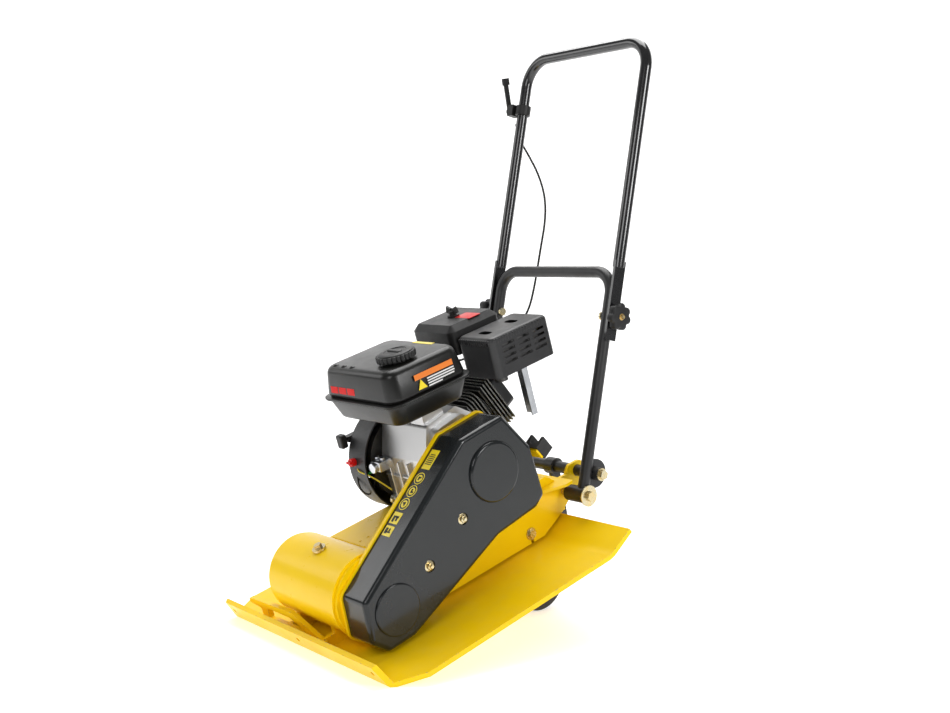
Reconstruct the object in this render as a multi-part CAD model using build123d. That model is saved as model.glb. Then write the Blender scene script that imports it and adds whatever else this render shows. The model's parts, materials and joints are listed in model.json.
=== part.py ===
from build123d import *

import math
import os

# Walk-behind plate compactor. Millimetres. The model is drawn in the machine's own frame:
# x across (the belt cover is on +x), y to the rear, z up from the sole, y = 0 at the toe
# of the base plate. The last step stands the machine on its toe and its lowered wheels.

# ---- base plate ---------------------------------------------------------------------
plate_width = 644.0
plate_thickness = 10.0
toe_y = 2.0                 # front end of the sole
sole_rear_y = 544.0         # rear end of the flat sole
rear_run, rear_rise = 64.0, 28.0
lip_lean, lip_height = 20.0, 50.0
toe_bend, rear_bend = 12.0, 60.0
corner_cut_x, corner_cut_y = 37.0, 64.0
pad_hole_radius = 5.5
pad_hole_x = (-258.0, 0.0, 258.0)
pad_hole_z = 30.0

# ---- carrying bracket on the front ------------------------------------------------------
bracket_y, bracket_thickness = 16.0, 10.0
bracket_left_x, bracket_post_x, bracket_right_x = -215.0, -170.0, 60.0
bracket_top_z, bracket_end_z = 67.0, 28.0
slot_left_x, slot_right_x = -142.0, 18.0
slot_bottom_z, slot_top_z = 31.0, 53.0
web_thickness, web_height = 10.0, 30.0

# ---- exciter ----------------------------------------------------------------------------
exciter_y, exciter_z = 104.0, 96.0
exciter_radius, exciter_wall = 81.0, 9.0
exciter_half_length = 118.0
exciter_cover_thickness = 10.0
exciter_shaft_radius = 17.0
exciter_foot_x, exciter_foot_length = (-75.0, 52.0), 62.0
exciter_bearing_radius, exciter_bearing_width = 40.0, 20.0
weight_radius, weight_half_length = 58.0, 62.0
running_gap = 0.05          # radial, shaft in its bearing
free_gap = 0.4              # between faces that must not touch

# ---- engine deck ------------------------------------------------------------------------
deck_top_z, deck_plate = 135.0, 6.0
deck_front_y, deck_rear_y = 176.0, 580.0
deck_half_width = 118.0     # inside of the side plates
side_plate = 8.0
deck_bottom_z = 15.0
rear_top_z = 115.0
rear_wall_y = 618.0
deck_hole_x, deck_hole_y, deck_hole_radius = (-34.0, 40.0), (200.0, 220.0), 3.0

# ---- rubber mounts ----------------------------------------------------------------------
mount_y = (215.0, 506.0)
mount_z = 36.0
mount_rubber_radius, mount_rubber_length = 17.0, 16.0
lug_thickness, lug_width = 10.0, 56.0
mount_bolt_radius, mount_washer_radius = 5.0, 13.0

# ---- handle -----------------------------------------------------------------------------
pivot_y, pivot_z = 622.0, 82.0
handle_lean = 28.1          # degrees back from the machine's vertical
tube_radius, tube_wall = 12.5, 2.0
lower_half_width, upper_half_width = 180.6, 193.2
lower_height, upper_height = 476.0, 981.0
lower_bend, upper_bend = 48.0, 62.0
knob_height = 381.0
saddle_bottom, saddle_top = 330.0, 500.0
saddle_thickness, saddle_width = 6.0, 30.0
leg_clearance = 3.0
sleeve_radius, sleeve_inner_x, sleeve_outer_x = 17.5, 140.0, 198.0
pivot_bolt_radius, pivot_nut_radius, pivot_nut_width = 6.0, 11.0, 12.0
knob_radius, knob_width, knob_lobes = 22.0, 24.0, 7
knob_lobe_radius = 7.5

rest_lean, rest_height, rest_wall = 28.0, 170.0, 8.0

# ---- stop bar and wheel carrier ---------------------------------------------------------
bar_z, bar_leg_gap = 111.0, 2.448       # height, and the gap between bar and handle leg
bar_y = (pivot_y + (bar_z - pivot_z) * math.tan(math.radians(handle_lean))
         + (2 * tube_radius + bar_leg_gap) / math.cos(math.radians(handle_lean)))
bar_half_length = 176.0
bumper_gap, bumper_length = 0.3, 18.0
tab_radius, tab_thickness = 31.0, 6.0
wheel_y, wheel_z = 527.0, -91.0
wheel_radius, wheel_width = 68.0, 36.0
wheel_outer_x = 97.0
wheel_bore = 8.0
arm_x, arm_thickness, arm_width = 46.0, 8.0, 26.0
elbow_y, elbow_z = 656.0, -42.0

# ---- engine -----------------------------------------------------------------------------
crank_y, crank_z = 395.0, 239.0
crank_radius = 12.5
case_left_x, case_right_x = -70.0, 84.0
cylinder_tilt = 25.0        # degrees above horizontal, towards the rear
cylinder_x = 4.0
fin_pitch, fin_thickness, fin_count = 8.0, 2.4, 10
fin_half_width, fin_half_height = 62.0, 58.0
fan_radius, fan_left_x, fan_right_x = 116.0, -134.0, -74.0
fan_rim = 6.0
recoil_radius, recoil_left_x = 98.0, -158.0
switch_x, switch_angle = -112.0, 13.0       # angle in degrees above the front of the rim
switch_radius, switch_length = 8.5, 11.0
flywheel_radius = 92.0
tank_left_x, tank_right_x = -127.0, 142.0
tank_front_y, tank_rear_y = 251.0, 461.0
tank_seam_z, tank_top_z, tank_bottom_z = 419.0, 484.0, 371.0
tank_wall = 3.0
cap_x, cap_y, cap_radius = 66.0, 336.0, 40.0
carburettor_left_x = -96.0
cleaner_left_x, cleaner_right_x = -106.0, 34.0
cleaner_front_y, cleaner_rear_y = 500.0, 636.0
cleaner_base_z, cleaner_split_z, cleaner_top_z = 428.0, 446.0, 492.0
shroud_left_x, shroud_right_x = 40.0, 150.0
shroud_front_y, shroud_rear_y = 505.0, 667.0
shroud_bottom_z, shroud_top_z = 384.0, 470.0
shroud_wall = 2.0

# ---- belt drive -------------------------------------------------------------------------
guard_back_x, guard_back_thickness = 126.0, 4.0
guard_margin, guard_lip = 4.0, 4.0
cover_outer_x, cover_wall = 206.0, 3.0
drive_pulley_radius, exciter_pulley_radius = 50.0, 33.0
belt_height, belt_width, belt_x = 8.0, 13.0, 152.0
pulley_flange = 3.0
cover_bolt_radius = 4.0
cover_bolt_places = ((297.0, 182.0), (197.0, 130.0))
drive_boss_radius, exciter_boss_radius = 61.0, 50.0

# ---- throttle ---------------------------------------------------------------------------
clamp_height = 862.0
cable_radius = 2.5


# ---- small helpers ----------------------------------------------------------------------
def x_rod(y, z, radius, x0, x1):
    """Round bar along x."""
    return Pos((x0 + x1) / 2, y, z) * Rot(0, 90, 0) * Cylinder(radius, abs(x1 - x0))


def z_rod(x, y, radius, z0, z1):
    """Round bar along z."""
    return Pos(x, y, (z0 + z1) / 2) * Cylinder(radius, z1 - z0)


def x_ring(y, z, outer, inner, x0, x1):
    """Round tube along x."""
    overrun = 1.0
    low, high = min(x0, x1), max(x0, x1)
    return x_rod(y, z, outer, low, high) - x_rod(y, z, inner, low - overrun, high + overrun)


def block(x0, x1, y0, y1, z0, z1):
    """Box between two corners."""
    return Pos((x0 + x1) / 2, (y0 + y1) / 2, (z0 + z1) / 2) * Box(x1 - x0, y1 - y0, z1 - z0)


def yz_face(points, radius=0.0):
    """Flat outline in the y-z plane, its corners rounded."""
    face = make_face(Polyline(*points, close=True))
    return fillet(face.vertices(), radius) if radius else face


def yz_prism(face, x0, x1):
    """Outline in the y-z plane, extruded from x0 to x1."""
    return extrude(Plane.YZ.offset(x0) * face, x1 - x0)


def rounded_box(x0, x1, y0, y1, z0, z1, corner, edge=0.0, taper=0.0):
    """Box with rounded upright corners, drawn in by taper towards z1, with a rounded z1 edge."""
    outline = RectangleRounded(x1 - x0, y1 - y0, corner)
    place = Pos((x0 + x1) / 2, (y0 + y1) / 2, z0)
    solid = extrude(place * outline, z1 - z0, taper=taper)
    if not edge:
        return solid
    end = solid.faces().sort_by(Axis.Z)[-1 if z1 > z0 else 0]
    return fillet(end.edges(), edge)


def mirrored_pair(solid):
    """A piece and its mirror image across the centre plane, as separate solids."""
    return [solid, mirror(solid, Plane.YZ)]


def hex_bolt(y, z, face_x, shank_x, radius, washer):
    """Hex bolt along x: washer and head outside face_x, shank as far as shank_x."""
    side = 1.0 if face_x > shank_x else -1.0
    washer_end = face_x + side * 0.4 * radius
    head_end = washer_end + side * 1.25 * radius
    head = extrude(Plane.YZ.offset(washer_end) * Pos(y, z) * RegularPolygon(1.75 * radius, 6),
                   head_end - washer_end)
    return x_rod(y, z, radius, shank_x, washer_end) + x_rod(y, z, washer, face_x, washer_end) + head


def leg_point(height, lean=handle_lean):
    """Point in the y-z plane, a distance up the handle's leg from the pivot."""
    return (pivot_y + height * math.sin(math.radians(lean)),
            pivot_z + height * math.cos(math.radians(lean)))


def leg_plane(x=0.0, height=0.0):
    """Plane with its x along the machine's x and its y up the handle's legs."""
    y, z = leg_point(height)
    lean = math.radians(handle_lean)
    return Plane(origin=(x, y, z), x_dir=(1, 0, 0), z_dir=(0, -math.cos(lean), math.sin(lean)))


def along_leg(x, radius, low, high):
    """Round bar along a leg of the handle."""
    base = leg_plane(x, low)
    plane = Plane(origin=base.origin, x_dir=(1, 0, 0), z_dir=base.y_dir)
    return extrude(plane * Circle(radius), high - low)


# ---- base plate and what is welded to it ------------------------------------------------
def base_plate():
    """Bent sole: flat, raised at the rear, with an upstanding lip that leans forward."""
    underside = FilletPolyline(
        (toe_y - lip_lean, lip_height), (toe_y, 0), (sole_rear_y, 0),
        (sole_rear_y + rear_run, rear_rise), radius=[toe_bend, rear_bend])
    section = make_face(offset(underside, plate_thickness, side=Side.LEFT))
    sheet = extrude(Plane.YZ.offset(-plate_width / 2) * section, plate_width)
    half = plate_width / 2
    slope = corner_cut_x / corner_cut_y
    front = toe_y - lip_lean - plate_thickness
    front_half = half - corner_cut_x - slope * (toe_y - front)
    rear = sole_rear_y + rear_run + plate_thickness
    outline = make_face(Polyline(
        (-front_half, front), (front_half, front), (half, toe_y + corner_cut_y), (half, rear),
        (-half, rear), (-half, toe_y + corner_cut_y), close=True))
    plate = sheet & Pos(0, 0, -50) * extrude(outline, 200)
    for x in pad_hole_x:
        y = toe_y - lip_lean * pad_hole_z / lip_height
        tilt = math.degrees(math.atan2(lip_lean, lip_height))
        plate -= Pos(x, y, pad_hole_z) * Rot(90 + tilt, 0, 0) * Cylinder(pad_hole_radius, 24)
    for y in mount_y:
        for lug in mirrored_pair(mount_lug(y)):
            plate += lug
    return plate


def front_bracket():
    """Flat carrying arch behind the lip, with a slot and two webs back to the exciter."""
    foot_z = plate_thickness
    outer = make_face(Polyline(
        (bracket_left_x, bracket_top_z - 6), (bracket_right_x - 105, bracket_top_z),
        (bracket_right_x, bracket_end_z), (bracket_right_x, foot_z), (bracket_post_x, foot_z),
        (bracket_post_x, bracket_top_z - 20), (bracket_left_x, bracket_top_z - 16), close=True))
    outer = fillet(outer.vertices().filter_by(lambda v: v.Y > foot_z + 1), 4.5)
    slot = make_face(Polyline(
        (slot_left_x, slot_top_z), (slot_right_x - 74, slot_top_z),
        (slot_right_x, slot_bottom_z), (slot_left_x, slot_bottom_z), close=True))
    slot = fillet(slot.vertices(), 3.0)
    plane = Plane.XZ.offset(-bracket_y)
    loop = extrude(plane * outer, bracket_thickness / 2, both=True)
    loop -= extrude(plane * slot, bracket_thickness, both=True)
    front, rear = bracket_y, exciter_y - exciter_foot_length
    for x in exciter_foot_x:
        loop += block(x - web_thickness / 2, x + web_thickness / 2, front, rear,
                      foot_z, min(foot_z + web_height, slot_bottom_z))
    return loop


# ---- exciter ----------------------------------------------------------------------------
def exciter_housing():
    """Round housing with a flange ring at each end, open through its ends."""
    half = exciter_half_length
    shell = x_ring(exciter_y, exciter_z, exciter_radius, exciter_radius - exciter_wall,
                   -half, half)
    ring = x_ring(exciter_y, exciter_z, exciter_radius + 3, exciter_radius - exciter_wall,
                  half - 7, half)
    plug_hole = plug_place() * Cylinder(9, 40)
    housing = shell + ring - plug_hole
    for foot in exciter_feet():
        housing += foot
    return housing


def exciter_feet():
    """Two saddle plates that carry the exciter on the base plate."""
    bite = 1.0
    feet = []
    for x in exciter_foot_x:
        plate = block(x - 6, x + 6, exciter_y - exciter_foot_length, exciter_y + 62,
                      plate_thickness, exciter_z - 30)
        feet.append(plate - x_rod(exciter_y, exciter_z, exciter_radius - bite, x - 8, x + 8))
    return feet


def exciter_cover(side):
    """End cover with its bearing seat; the drive side lets the shaft out."""
    inner = side * exciter_half_length
    outer = side * (exciter_half_length + exciter_cover_thickness)
    if side > 0:
        outer = guard_back_x
    spigot = side * (exciter_half_length - exciter_bearing_width)
    disc = x_rod(exciter_y, exciter_z, exciter_radius - 2, inner, outer)
    disc += x_rod(exciter_y, exciter_z, exciter_radius - exciter_wall, spigot, inner)
    disc -= x_rod(exciter_y, exciter_z, exciter_bearing_radius, spigot - side, inner)
    if side > 0:
        disc -= x_rod(exciter_y, exciter_z, exciter_shaft_radius + 1.5, inner - 1, outer + 1)
    return disc


def exciter_bearings():
    """Roller bearings of the eccentric shaft, as plain rings."""
    half, width = exciter_half_length, exciter_bearing_width
    ring = x_ring(exciter_y, exciter_z, exciter_bearing_radius,
                  exciter_shaft_radius + running_gap, half - width, half)
    return mirrored_pair(ring)


def exciter_shaft():
    """Shaft from the left bearing out to the driven pulley."""
    end = belt_x + belt_width / 2 + 12
    return x_rod(exciter_y, exciter_z, exciter_shaft_radius, -exciter_half_length + 3, end)


def eccentric_weight():
    """Half-round weight on the exciter shaft, hanging straight down as the machine stands."""
    half = weight_half_length
    weight = x_rod(exciter_y, exciter_z, weight_radius, -half, half)
    weight -= block(-half - 1, half + 1, exciter_y - 100, exciter_y + 100, exciter_z + 14,
                    exciter_z + 100)
    collar = x_rod(exciter_y, exciter_z, exciter_shaft_radius + 12, -half, half)
    weight += collar
    weight -= x_rod(exciter_y, exciter_z, exciter_shaft_radius, -half - 1, half + 1)
    pitch, _ = stance()
    hang = Pos(0, exciter_y, exciter_z) * Rot(-pitch, 0, 0) * Pos(0, -exciter_y, -exciter_z)
    return hang * weight


def plug_place():
    """Location of the oil plug on the housing's surface, its z outwards."""
    return Pos(0, exciter_y, exciter_z) * Rot(10, 0, 0) * Pos(0, 0, exciter_radius)


def exciter_plug():
    """Oil filler plug on top of the exciter housing."""
    plug = Pos(0, 0, -2) * Cylinder(8.9, 12) + Pos(0, 0, 3.4) * Cylinder(14, 4)
    head = Pos(0, 0, 5) * extrude(RegularPolygon(8, 6), 8)
    return plug_place() * (plug + head)


# ---- engine deck, ears and rubber mounts ------------------------------------------------
def side_plate_face():
    """Side plate of the deck with the handle ear at its rear end."""
    ear = 20.0
    slope = rear_rise / rear_run
    step = 604.0
    outline = make_face(Polyline(
        (deck_front_y, deck_top_z), (deck_front_y, deck_bottom_z),
        (sole_rear_y - 4, deck_bottom_z),
        (step, deck_bottom_z + slope * (step - sole_rear_y + 4)), (628, 60),
        (bar_y + ear, bar_z - ear), (bar_y + ear, bar_z + ear),
        (bar_y - ear, bar_z + ear), (636, rear_top_z), (602, rear_top_z),
        (deck_rear_y, deck_top_z), close=True))
    sharp = outline.vertices().filter_by(lambda v: v.X > 640)
    return fillet(sharp, ear * 0.62)


def engine_deck():
    """Welded deck: top plate, two side plates that end in the handle ears, rear wall."""
    half = deck_half_width
    side = yz_prism(side_plate_face(), half, half + side_plate)
    side -= x_rod(pivot_y, pivot_z, pivot_bolt_radius + free_gap, half - 1, half + 20)
    side -= x_rod(bar_y, bar_z, tube_radius + 0.2, half - 1, half + 20)
    for y in mount_y:
        side -= x_rod(y, mount_z, mount_bolt_radius + free_gap, half - 1, half + 20)
        side -= block(half - 1, half + 20, y - 4, y + 4, deck_bottom_z - 5, deck_bottom_z + 7)
    top = block(-half, half, deck_front_y, deck_rear_y, deck_top_z - deck_plate, deck_top_z)
    step = yz_face(((deck_rear_y, deck_top_z), (602, rear_top_z), (rear_wall_y, rear_top_z),
                    (rear_wall_y, 40), (rear_wall_y - 6, 40), (rear_wall_y - 6, rear_top_z - 6),
                    (600, rear_top_z - 6), (deck_rear_y, deck_top_z - deck_plate)))
    rear = yz_prism(step, -half, half)
    for x in deck_hole_x:
        for y in deck_hole_y:
            top -= z_rod(x, y, deck_hole_radius, deck_top_z - 10, deck_top_z + 5)
    side += ear_gusset()
    deck = top + rear + side + mirror(side, Plane.YZ)
    clear = exciter_radius + 5
    deck -= x_rod(exciter_y, exciter_z, clear, -half - 20, half + 20)
    nut = x_rod(pivot_y, pivot_z, pivot_nut_radius + 1.5, half - pivot_nut_width - 2, half)
    return deck - nut - mirror(nut, Plane.YZ)


def ear_gusset():
    """Triangular stiffener outside one ear, just in front of the handle leg."""
    inner = deck_half_width + side_plate - 1
    outer = lower_half_width - tube_radius - leg_clearance
    points = ((inner, 548), (inner + 15, 552), (outer, 598), (outer, 619), (inner, 619))
    outline = fillet(make_face(Polyline(*points, close=True)).vertices(), 2.5)
    return Pos(0, 0, rear_top_z - 6) * extrude(outline, 6)


def mount_lug(y):
    """Upright lug on the base plate that carries one rubber mount."""
    outer = deck_half_width - mount_rubber_length
    lug = block(outer - lug_thickness, outer, y - lug_width / 2, y + lug_width / 2,
                plate_thickness - 1, mount_z + 22)
    return lug - x_rod(y, mount_z, mount_bolt_radius, outer - 20, outer + 5)


def mount_rubber(y):
    """Bonded rubber block between lug and deck."""
    inner = deck_half_width - mount_rubber_length
    return x_ring(y, mount_z, mount_rubber_radius, mount_bolt_radius + free_gap,
                  inner, deck_half_width)


def mount_bolt(y):
    """Bolt through side plate, rubber and lug."""
    face = deck_half_width + side_plate
    return hex_bolt(y, mount_z, face, deck_half_width - mount_rubber_length - lug_thickness - 4,
                    mount_bolt_radius, mount_washer_radius)


# ---- stop bar and wheel carrier ---------------------------------------------------------
def stop_bar():
    """Tube through both ears; the handle rests against its ends."""
    return x_ring(bar_y, bar_z, tube_radius, tube_radius - tube_wall,
                  -bar_half_length, bar_half_length)


def bar_tab():
    """Rounded end plate of the stop bar, hollowed where the leg rests."""
    start = bar_half_length
    disc = x_rod(bar_y, bar_z, tab_radius, start, start + tab_thickness)
    disc -= x_rod(bar_y, bar_z, pivot_bolt_radius + free_gap, start - 1, start + 20)
    leg = along_leg(lower_half_width, tube_radius + 1.2, -20, 120)
    beside = block(start - 1, start + 20, bar_y - 60, bar_y - 24, bar_z - 60, bar_z + 60)
    return (disc - leg - beside).solids().sort_by(SortBy.VOLUME)[-1]


def bumper():
    """Rubber sleeve on the bar's end bolt."""
    lean = math.radians(handle_lean)
    off_leg = (bar_y - pivot_y) * math.cos(lean) - (bar_z - pivot_z) * math.sin(lean)
    radius = off_leg - tube_radius - bumper_gap
    start = bar_half_length + tab_thickness
    return x_ring(bar_y, bar_z, radius, pivot_bolt_radius + free_gap, start,
                  start + bumper_length)


def bar_bolt():
    """Bolt that holds tab and bumper to the end of the stop bar."""
    face = bar_half_length + tab_thickness + bumper_length
    plug = x_rod(bar_y, bar_z, tube_radius - tube_wall, bar_half_length - 24, bar_half_length)
    return hex_bolt(bar_y, bar_z, face, bar_half_length - 24, pivot_bolt_radius, 13.5) + plug


def carrier_arm():
    """Cranked arm from the stop bar round the rear of the plate to the axle."""
    line = FilletPolyline((bar_y, bar_z), (elbow_y, elbow_z), (wheel_y, wheel_z), radius=34)
    strip = make_face(offset(line, arm_width / 2, side=Side.BOTH))
    arm = yz_prism(strip, arm_x, arm_x + arm_thickness)
    arm += x_rod(bar_y, bar_z, tube_radius + 6, arm_x - 10, arm_x + arm_thickness + 8)
    arm += x_rod(wheel_y, wheel_z, 15, arm_x, arm_x + arm_thickness)
    return arm - x_rod(bar_y, bar_z, tube_radius + running_gap, arm_x - 20, arm_x + 30)


def wheel_carrier():
    """Two cranked arms joined by a cross tube."""
    arm = carrier_arm()
    cross_y, cross_z = (elbow_y + wheel_y) / 2, (elbow_z + wheel_z) / 2
    cross = x_rod(cross_y, cross_z, 9, -arm_x - 1, arm_x + 1)
    return arm + mirror(arm, Plane.YZ) + cross + wheel_axle()


def wheel_axle():
    """Axle with a washer and a nut outside each wheel."""
    end = wheel_outer_x + 2
    axle = x_rod(wheel_y, wheel_z, wheel_bore - running_gap, -end, end)
    for side in (-1, 1):
        axle += x_rod(wheel_y, wheel_z, 14, side * (end - 1.6), side * (end + 2))
        axle += x_rod(wheel_y, wheel_z, 10, side * (end + 2), side * (end + 9))
    return axle


def wheel():
    """Solid rubber wheel on a steel hub, on the +x side."""
    inner, outer = wheel_outer_x - wheel_width, wheel_outer_x
    tyre = fillet(x_rod(wheel_y, wheel_z, wheel_radius, inner, outer).edges(), 7)
    tyre -= x_ring(wheel_y, wheel_z, 46, 20, outer - 6, outer + 5)
    tyre -= x_ring(wheel_y, wheel_z, 46, 20, inner - 5, inner + 6)
    return tyre - x_rod(wheel_y, wheel_z, wheel_bore, inner - 5, outer + 5)


# ---- handles ----------------------------------------------------------------------------
def u_tube(half_width, low, high, bend):
    """U-shaped tube: legs up from low to high, joined by a top bar."""
    path = leg_plane() * FilletPolyline(
        (-half_width, low), (-half_width, high), (half_width, high), (half_width, low),
        radius=bend)
    start = Plane(origin=path @ 0, z_dir=path % 0)
    return sweep(start * Circle(tube_radius), path=path) - sweep(
        start * Circle(tube_radius - tube_wall), path=path)


def lower_handle():
    """Lower U with a pivot sleeve welded under each leg."""
    handle = u_tube(lower_half_width, sleeve_radius - 3, lower_height, lower_bend)
    sleeve = x_rod(pivot_y, pivot_z, sleeve_radius, sleeve_inner_x, sleeve_outer_x)
    bore = x_rod(pivot_y, pivot_z, pivot_bolt_radius + running_gap, 100, 220)
    knob_y, knob_z = leg_point(knob_height)
    hole = x_rod(knob_y, knob_z, 4, 150, 230)
    for cut in (bore, hole):
        sleeve -= cut
    handle += sleeve + mirror(sleeve, Plane.YZ)
    for cut in (bore, hole):
        handle = handle - cut - mirror(cut, Plane.YZ)
    return handle


def pivot_bolt():
    """Bolt that carries one leg of the handle, with a large washer."""
    inner = deck_half_width - pivot_nut_width
    bolt = hex_bolt(pivot_y, pivot_z, sleeve_outer_x + free_gap, inner, pivot_bolt_radius, 22.5)
    return bolt + x_rod(pivot_y, pivot_z, pivot_nut_radius, inner, deck_half_width) + x_rod(
        pivot_y, pivot_z, 11, deck_half_width + side_plate, sleeve_inner_x - free_gap)


def saddle():
    """Flattened lower end of the upper handle, beside the leg of the lower one."""
    inner = lower_half_width + tube_radius + free_gap
    outline = leg_plane(0, 0) * make_face(Polyline(
        (0, saddle_bottom), (0, saddle_top), (saddle_thickness, saddle_top),
        (saddle_thickness, saddle_bottom), close=True))
    plate = extrude(Pos(inner, 0, 0) * outline, saddle_width / 2, both=True)
    knob_y, knob_z = leg_point(knob_height)
    return plate - x_rod(knob_y, knob_z, 4, 150, 230)


def upper_handle():
    """Upper U, its legs flattened at their lower ends."""
    handle = u_tube(upper_half_width, saddle_top - 14, upper_height, upper_bend)
    plug = along_leg(upper_half_width, tube_radius - 1, saddle_top - 14, saddle_top + 6)
    end = saddle() + plug
    return handle + end + mirror(end, Plane.YZ)


def knob_bolt():
    """Carriage bolt through both handles, with its washer inboard and nut in the knob."""
    knob_y, knob_z = leg_point(knob_height)
    inner = lower_half_width - tube_radius
    seat = lower_half_width + tube_radius + free_gap + saddle_thickness
    bolt = x_rod(knob_y, knob_z, 4 - running_gap, inner - 1, seat + knob_width + 6)
    return bolt + x_rod(knob_y, knob_z, 9, inner - 5, inner - running_gap)


def star_knob():
    """Lobed clamping knob with a brass insert hole, on the +x side."""
    knob_y, knob_z = leg_point(knob_height)
    seat = lower_half_width + tube_radius + free_gap + saddle_thickness + free_gap
    face = Circle(knob_radius)
    for index in range(knob_lobes):
        face += Rot(0, 0, index * 360 / knob_lobes) * Pos(knob_radius, 0) * Circle(knob_lobe_radius)
    start = seat + 8
    body = extrude(Plane.YZ.offset(start) * Pos(knob_y, knob_z) * face, knob_width - 8)
    neck = x_rod(knob_y, knob_z, 12, seat, start + 1)
    return body + neck - x_rod(knob_y, knob_z, 4, seat - 5, start + knob_width + 5)


# ---- belt drive -------------------------------------------------------------------------
def cover_face():
    """Outline of the belt cover: two wrap-round ends joined by straight edges."""
    return yz_face(((40, 130), (339, 330), (449, 337), (500, 250), (506, 140), (478, 122),
                    (372, 112), (128, 18), (66, 16), (34, 48)), 15.0)


def belt_guard_back():
    """Flat plate behind the belt cover, bolted to the engine and the deck."""
    front = guard_back_x + guard_back_thickness
    plate = yz_prism(offset(cover_face(), guard_margin), guard_back_x, front)
    lip = yz_prism(offset(cover_face(), guard_margin), front - 1, front + guard_lip)
    plate += lip - yz_prism(offset(cover_face(), free_gap), front - 2, front + guard_lip + 1)
    plate -= x_rod(crank_y, crank_z, 30, guard_back_x - 5, guard_back_x + 10)
    plate -= x_rod(exciter_y, exciter_z, exciter_shaft_radius + 8,
                   guard_back_x - 5, guard_back_x + 10)
    for y in mount_y:
        plate -= x_rod(y, mount_z, mount_washer_radius + 2, guard_back_x - 5, guard_back_x + 10)
    for place in cover_bolt_places:
        plate += cover_post(*place)
    return plate + rest_bracket()


def cover_post(y, z):
    """Threaded post that holds the belt cover off its back plate."""
    start = guard_back_x + guard_back_thickness - 1
    return x_ring(y, z, 8, cover_bolt_radius, start, cover_outer_x - cover_wall - 4)


def belt_cover():
    """Moulded cover, open towards the back plate, with a round boss over each pulley."""
    start = guard_back_x + guard_back_thickness
    shell = yz_prism(cover_face(), start, cover_outer_x)
    edge = 10.0
    shell = fillet(shell.faces().sort_by(Axis.X)[-1].edges(), edge)
    for y, z, radius, height in ((crank_y, crank_z, drive_boss_radius, 7.0),
                                 (exciter_y, exciter_z - 10, exciter_boss_radius, 4.0)):
        boss = x_rod(y, z, radius, cover_outer_x - 5, cover_outer_x + height)
        shell += fillet(boss.faces().sort_by(Axis.X)[-1].edges(), height - 1)
    inner = yz_prism(offset(cover_face(), -cover_wall), start - 1, cover_outer_x - cover_wall)
    shell -= fillet(inner.faces().sort_by(Axis.X)[-1].edges(), edge - cover_wall)
    for y, z in cover_bolt_places:
        shell += x_rod(y, z, 14, cover_outer_x - cover_wall - 4, cover_outer_x - 1)
        shell -= x_rod(y, z, 12, cover_outer_x - 4, cover_outer_x + 5)
        shell -= x_rod(y, z, 4.2, cover_outer_x - 20, cover_outer_x + 5)
    return shell


def cover_bolt(y, z):
    """Flanged bolt that holds the belt cover to its post."""
    return hex_bolt(y, z, cover_outer_x - 4, cover_outer_x - 34, cover_bolt_radius, 9.5)


def grooved_pulley(y, z, pitch_radius, bore):
    """V-belt pulley, its groove drawn as a plain channel."""
    half = belt_width / 2
    low, high = belt_x - half, belt_x + half
    pulley = x_rod(y, z, pitch_radius + 4, low - pulley_flange - free_gap,
                   high + pulley_flange + free_gap)
    pulley -= x_ring(y, z, pitch_radius + 10, pitch_radius - belt_height + 2 - free_gap,
                     low - free_gap, high + free_gap)
    return pulley - x_rod(y, z, bore, low - 20, high + 20)


def exciter_pulley():
    """Driven pulley on the exciter shaft."""
    return grooved_pulley(exciter_y, exciter_z, exciter_pulley_radius, exciter_shaft_radius)


def clutch_pulley():
    """Pulley and drum of the centrifugal clutch."""
    pulley = grooved_pulley(crank_y, crank_z, drive_pulley_radius, crank_radius + running_gap)
    start = belt_x + belt_width / 2 + pulley_flange + free_gap
    drum = x_ring(crank_y, crank_z, drive_pulley_radius + 4, drive_pulley_radius, start - 1,
                  start + 24)
    return pulley + drum


def clutch_hub():
    """Driving hub of the clutch with its shoes, on the crankshaft."""
    start = belt_x + belt_width / 2 + pulley_flange + 2
    hub = x_rod(crank_y, crank_z, drive_pulley_radius - 1.5, start, start + 20)
    for index in range(3):
        turn = Pos(start + 10, crank_y, crank_z) * Rot(index * 120, 0, 0)
        hub -= turn * Pos(0, 0, 36) * Box(30, 5, 34)
    return hub - x_rod(crank_y, crank_z, crank_radius, start - 5, start + 30)


def tangent_hull(radius_a, radius_b):
    """Outline round the two pulleys, at the given radii."""
    a = Pos(crank_y, crank_z) * Circle(radius_a)
    b = Pos(exciter_y, exciter_z) * Circle(radius_b)
    return make_hull(a.edges() + b.edges())


def v_belt():
    """Belt round both pulleys."""
    outer = tangent_hull(drive_pulley_radius + 2, exciter_pulley_radius + 2)
    inner = tangent_hull(drive_pulley_radius + 2 - belt_height,
                         exciter_pulley_radius + 2 - belt_height)
    half = belt_width / 2
    return yz_prism(outer, belt_x - half, belt_x + half) - yz_prism(
        inner, belt_x - half - 1, belt_x + half + 1)


def rest_place():
    """Location of the handle rest: its z up the folded leg, its y away from the cover."""
    lean = math.radians(rest_lean)
    return Pos(lower_half_width, pivot_y - rest_height * math.sin(lean),
               pivot_z + rest_height * math.cos(lean)) * Rot(rest_lean, 0, 0)


def rest_bracket():
    """Arm of the back plate that carries the handle rest."""
    back = -(tube_radius + free_gap + rest_wall)
    left = guard_back_x - guard_back_thickness
    width = 18.0
    span = lower_half_width + width - left
    arm = rest_place() * Pos(width - span / 2, back - 2, 0) * Box(span, 4, 24)
    flange = block(left, guard_back_x, 488, 524, 208, 232)
    return arm + flange


def handle_rest():
    """Rubber clip that holds a leg of the folded handle."""
    inner = tube_radius + free_gap
    depth = inner + rest_wall + 8
    body = Pos(0, 8 - depth / 2, 0) * Box(2 * inner + 14, depth, 34)
    groove = Cylinder(inner, 60) + Pos(0, 20, 0) * Box(2 * inner, 40, 60)
    return rest_place() * (body - groove)


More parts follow.
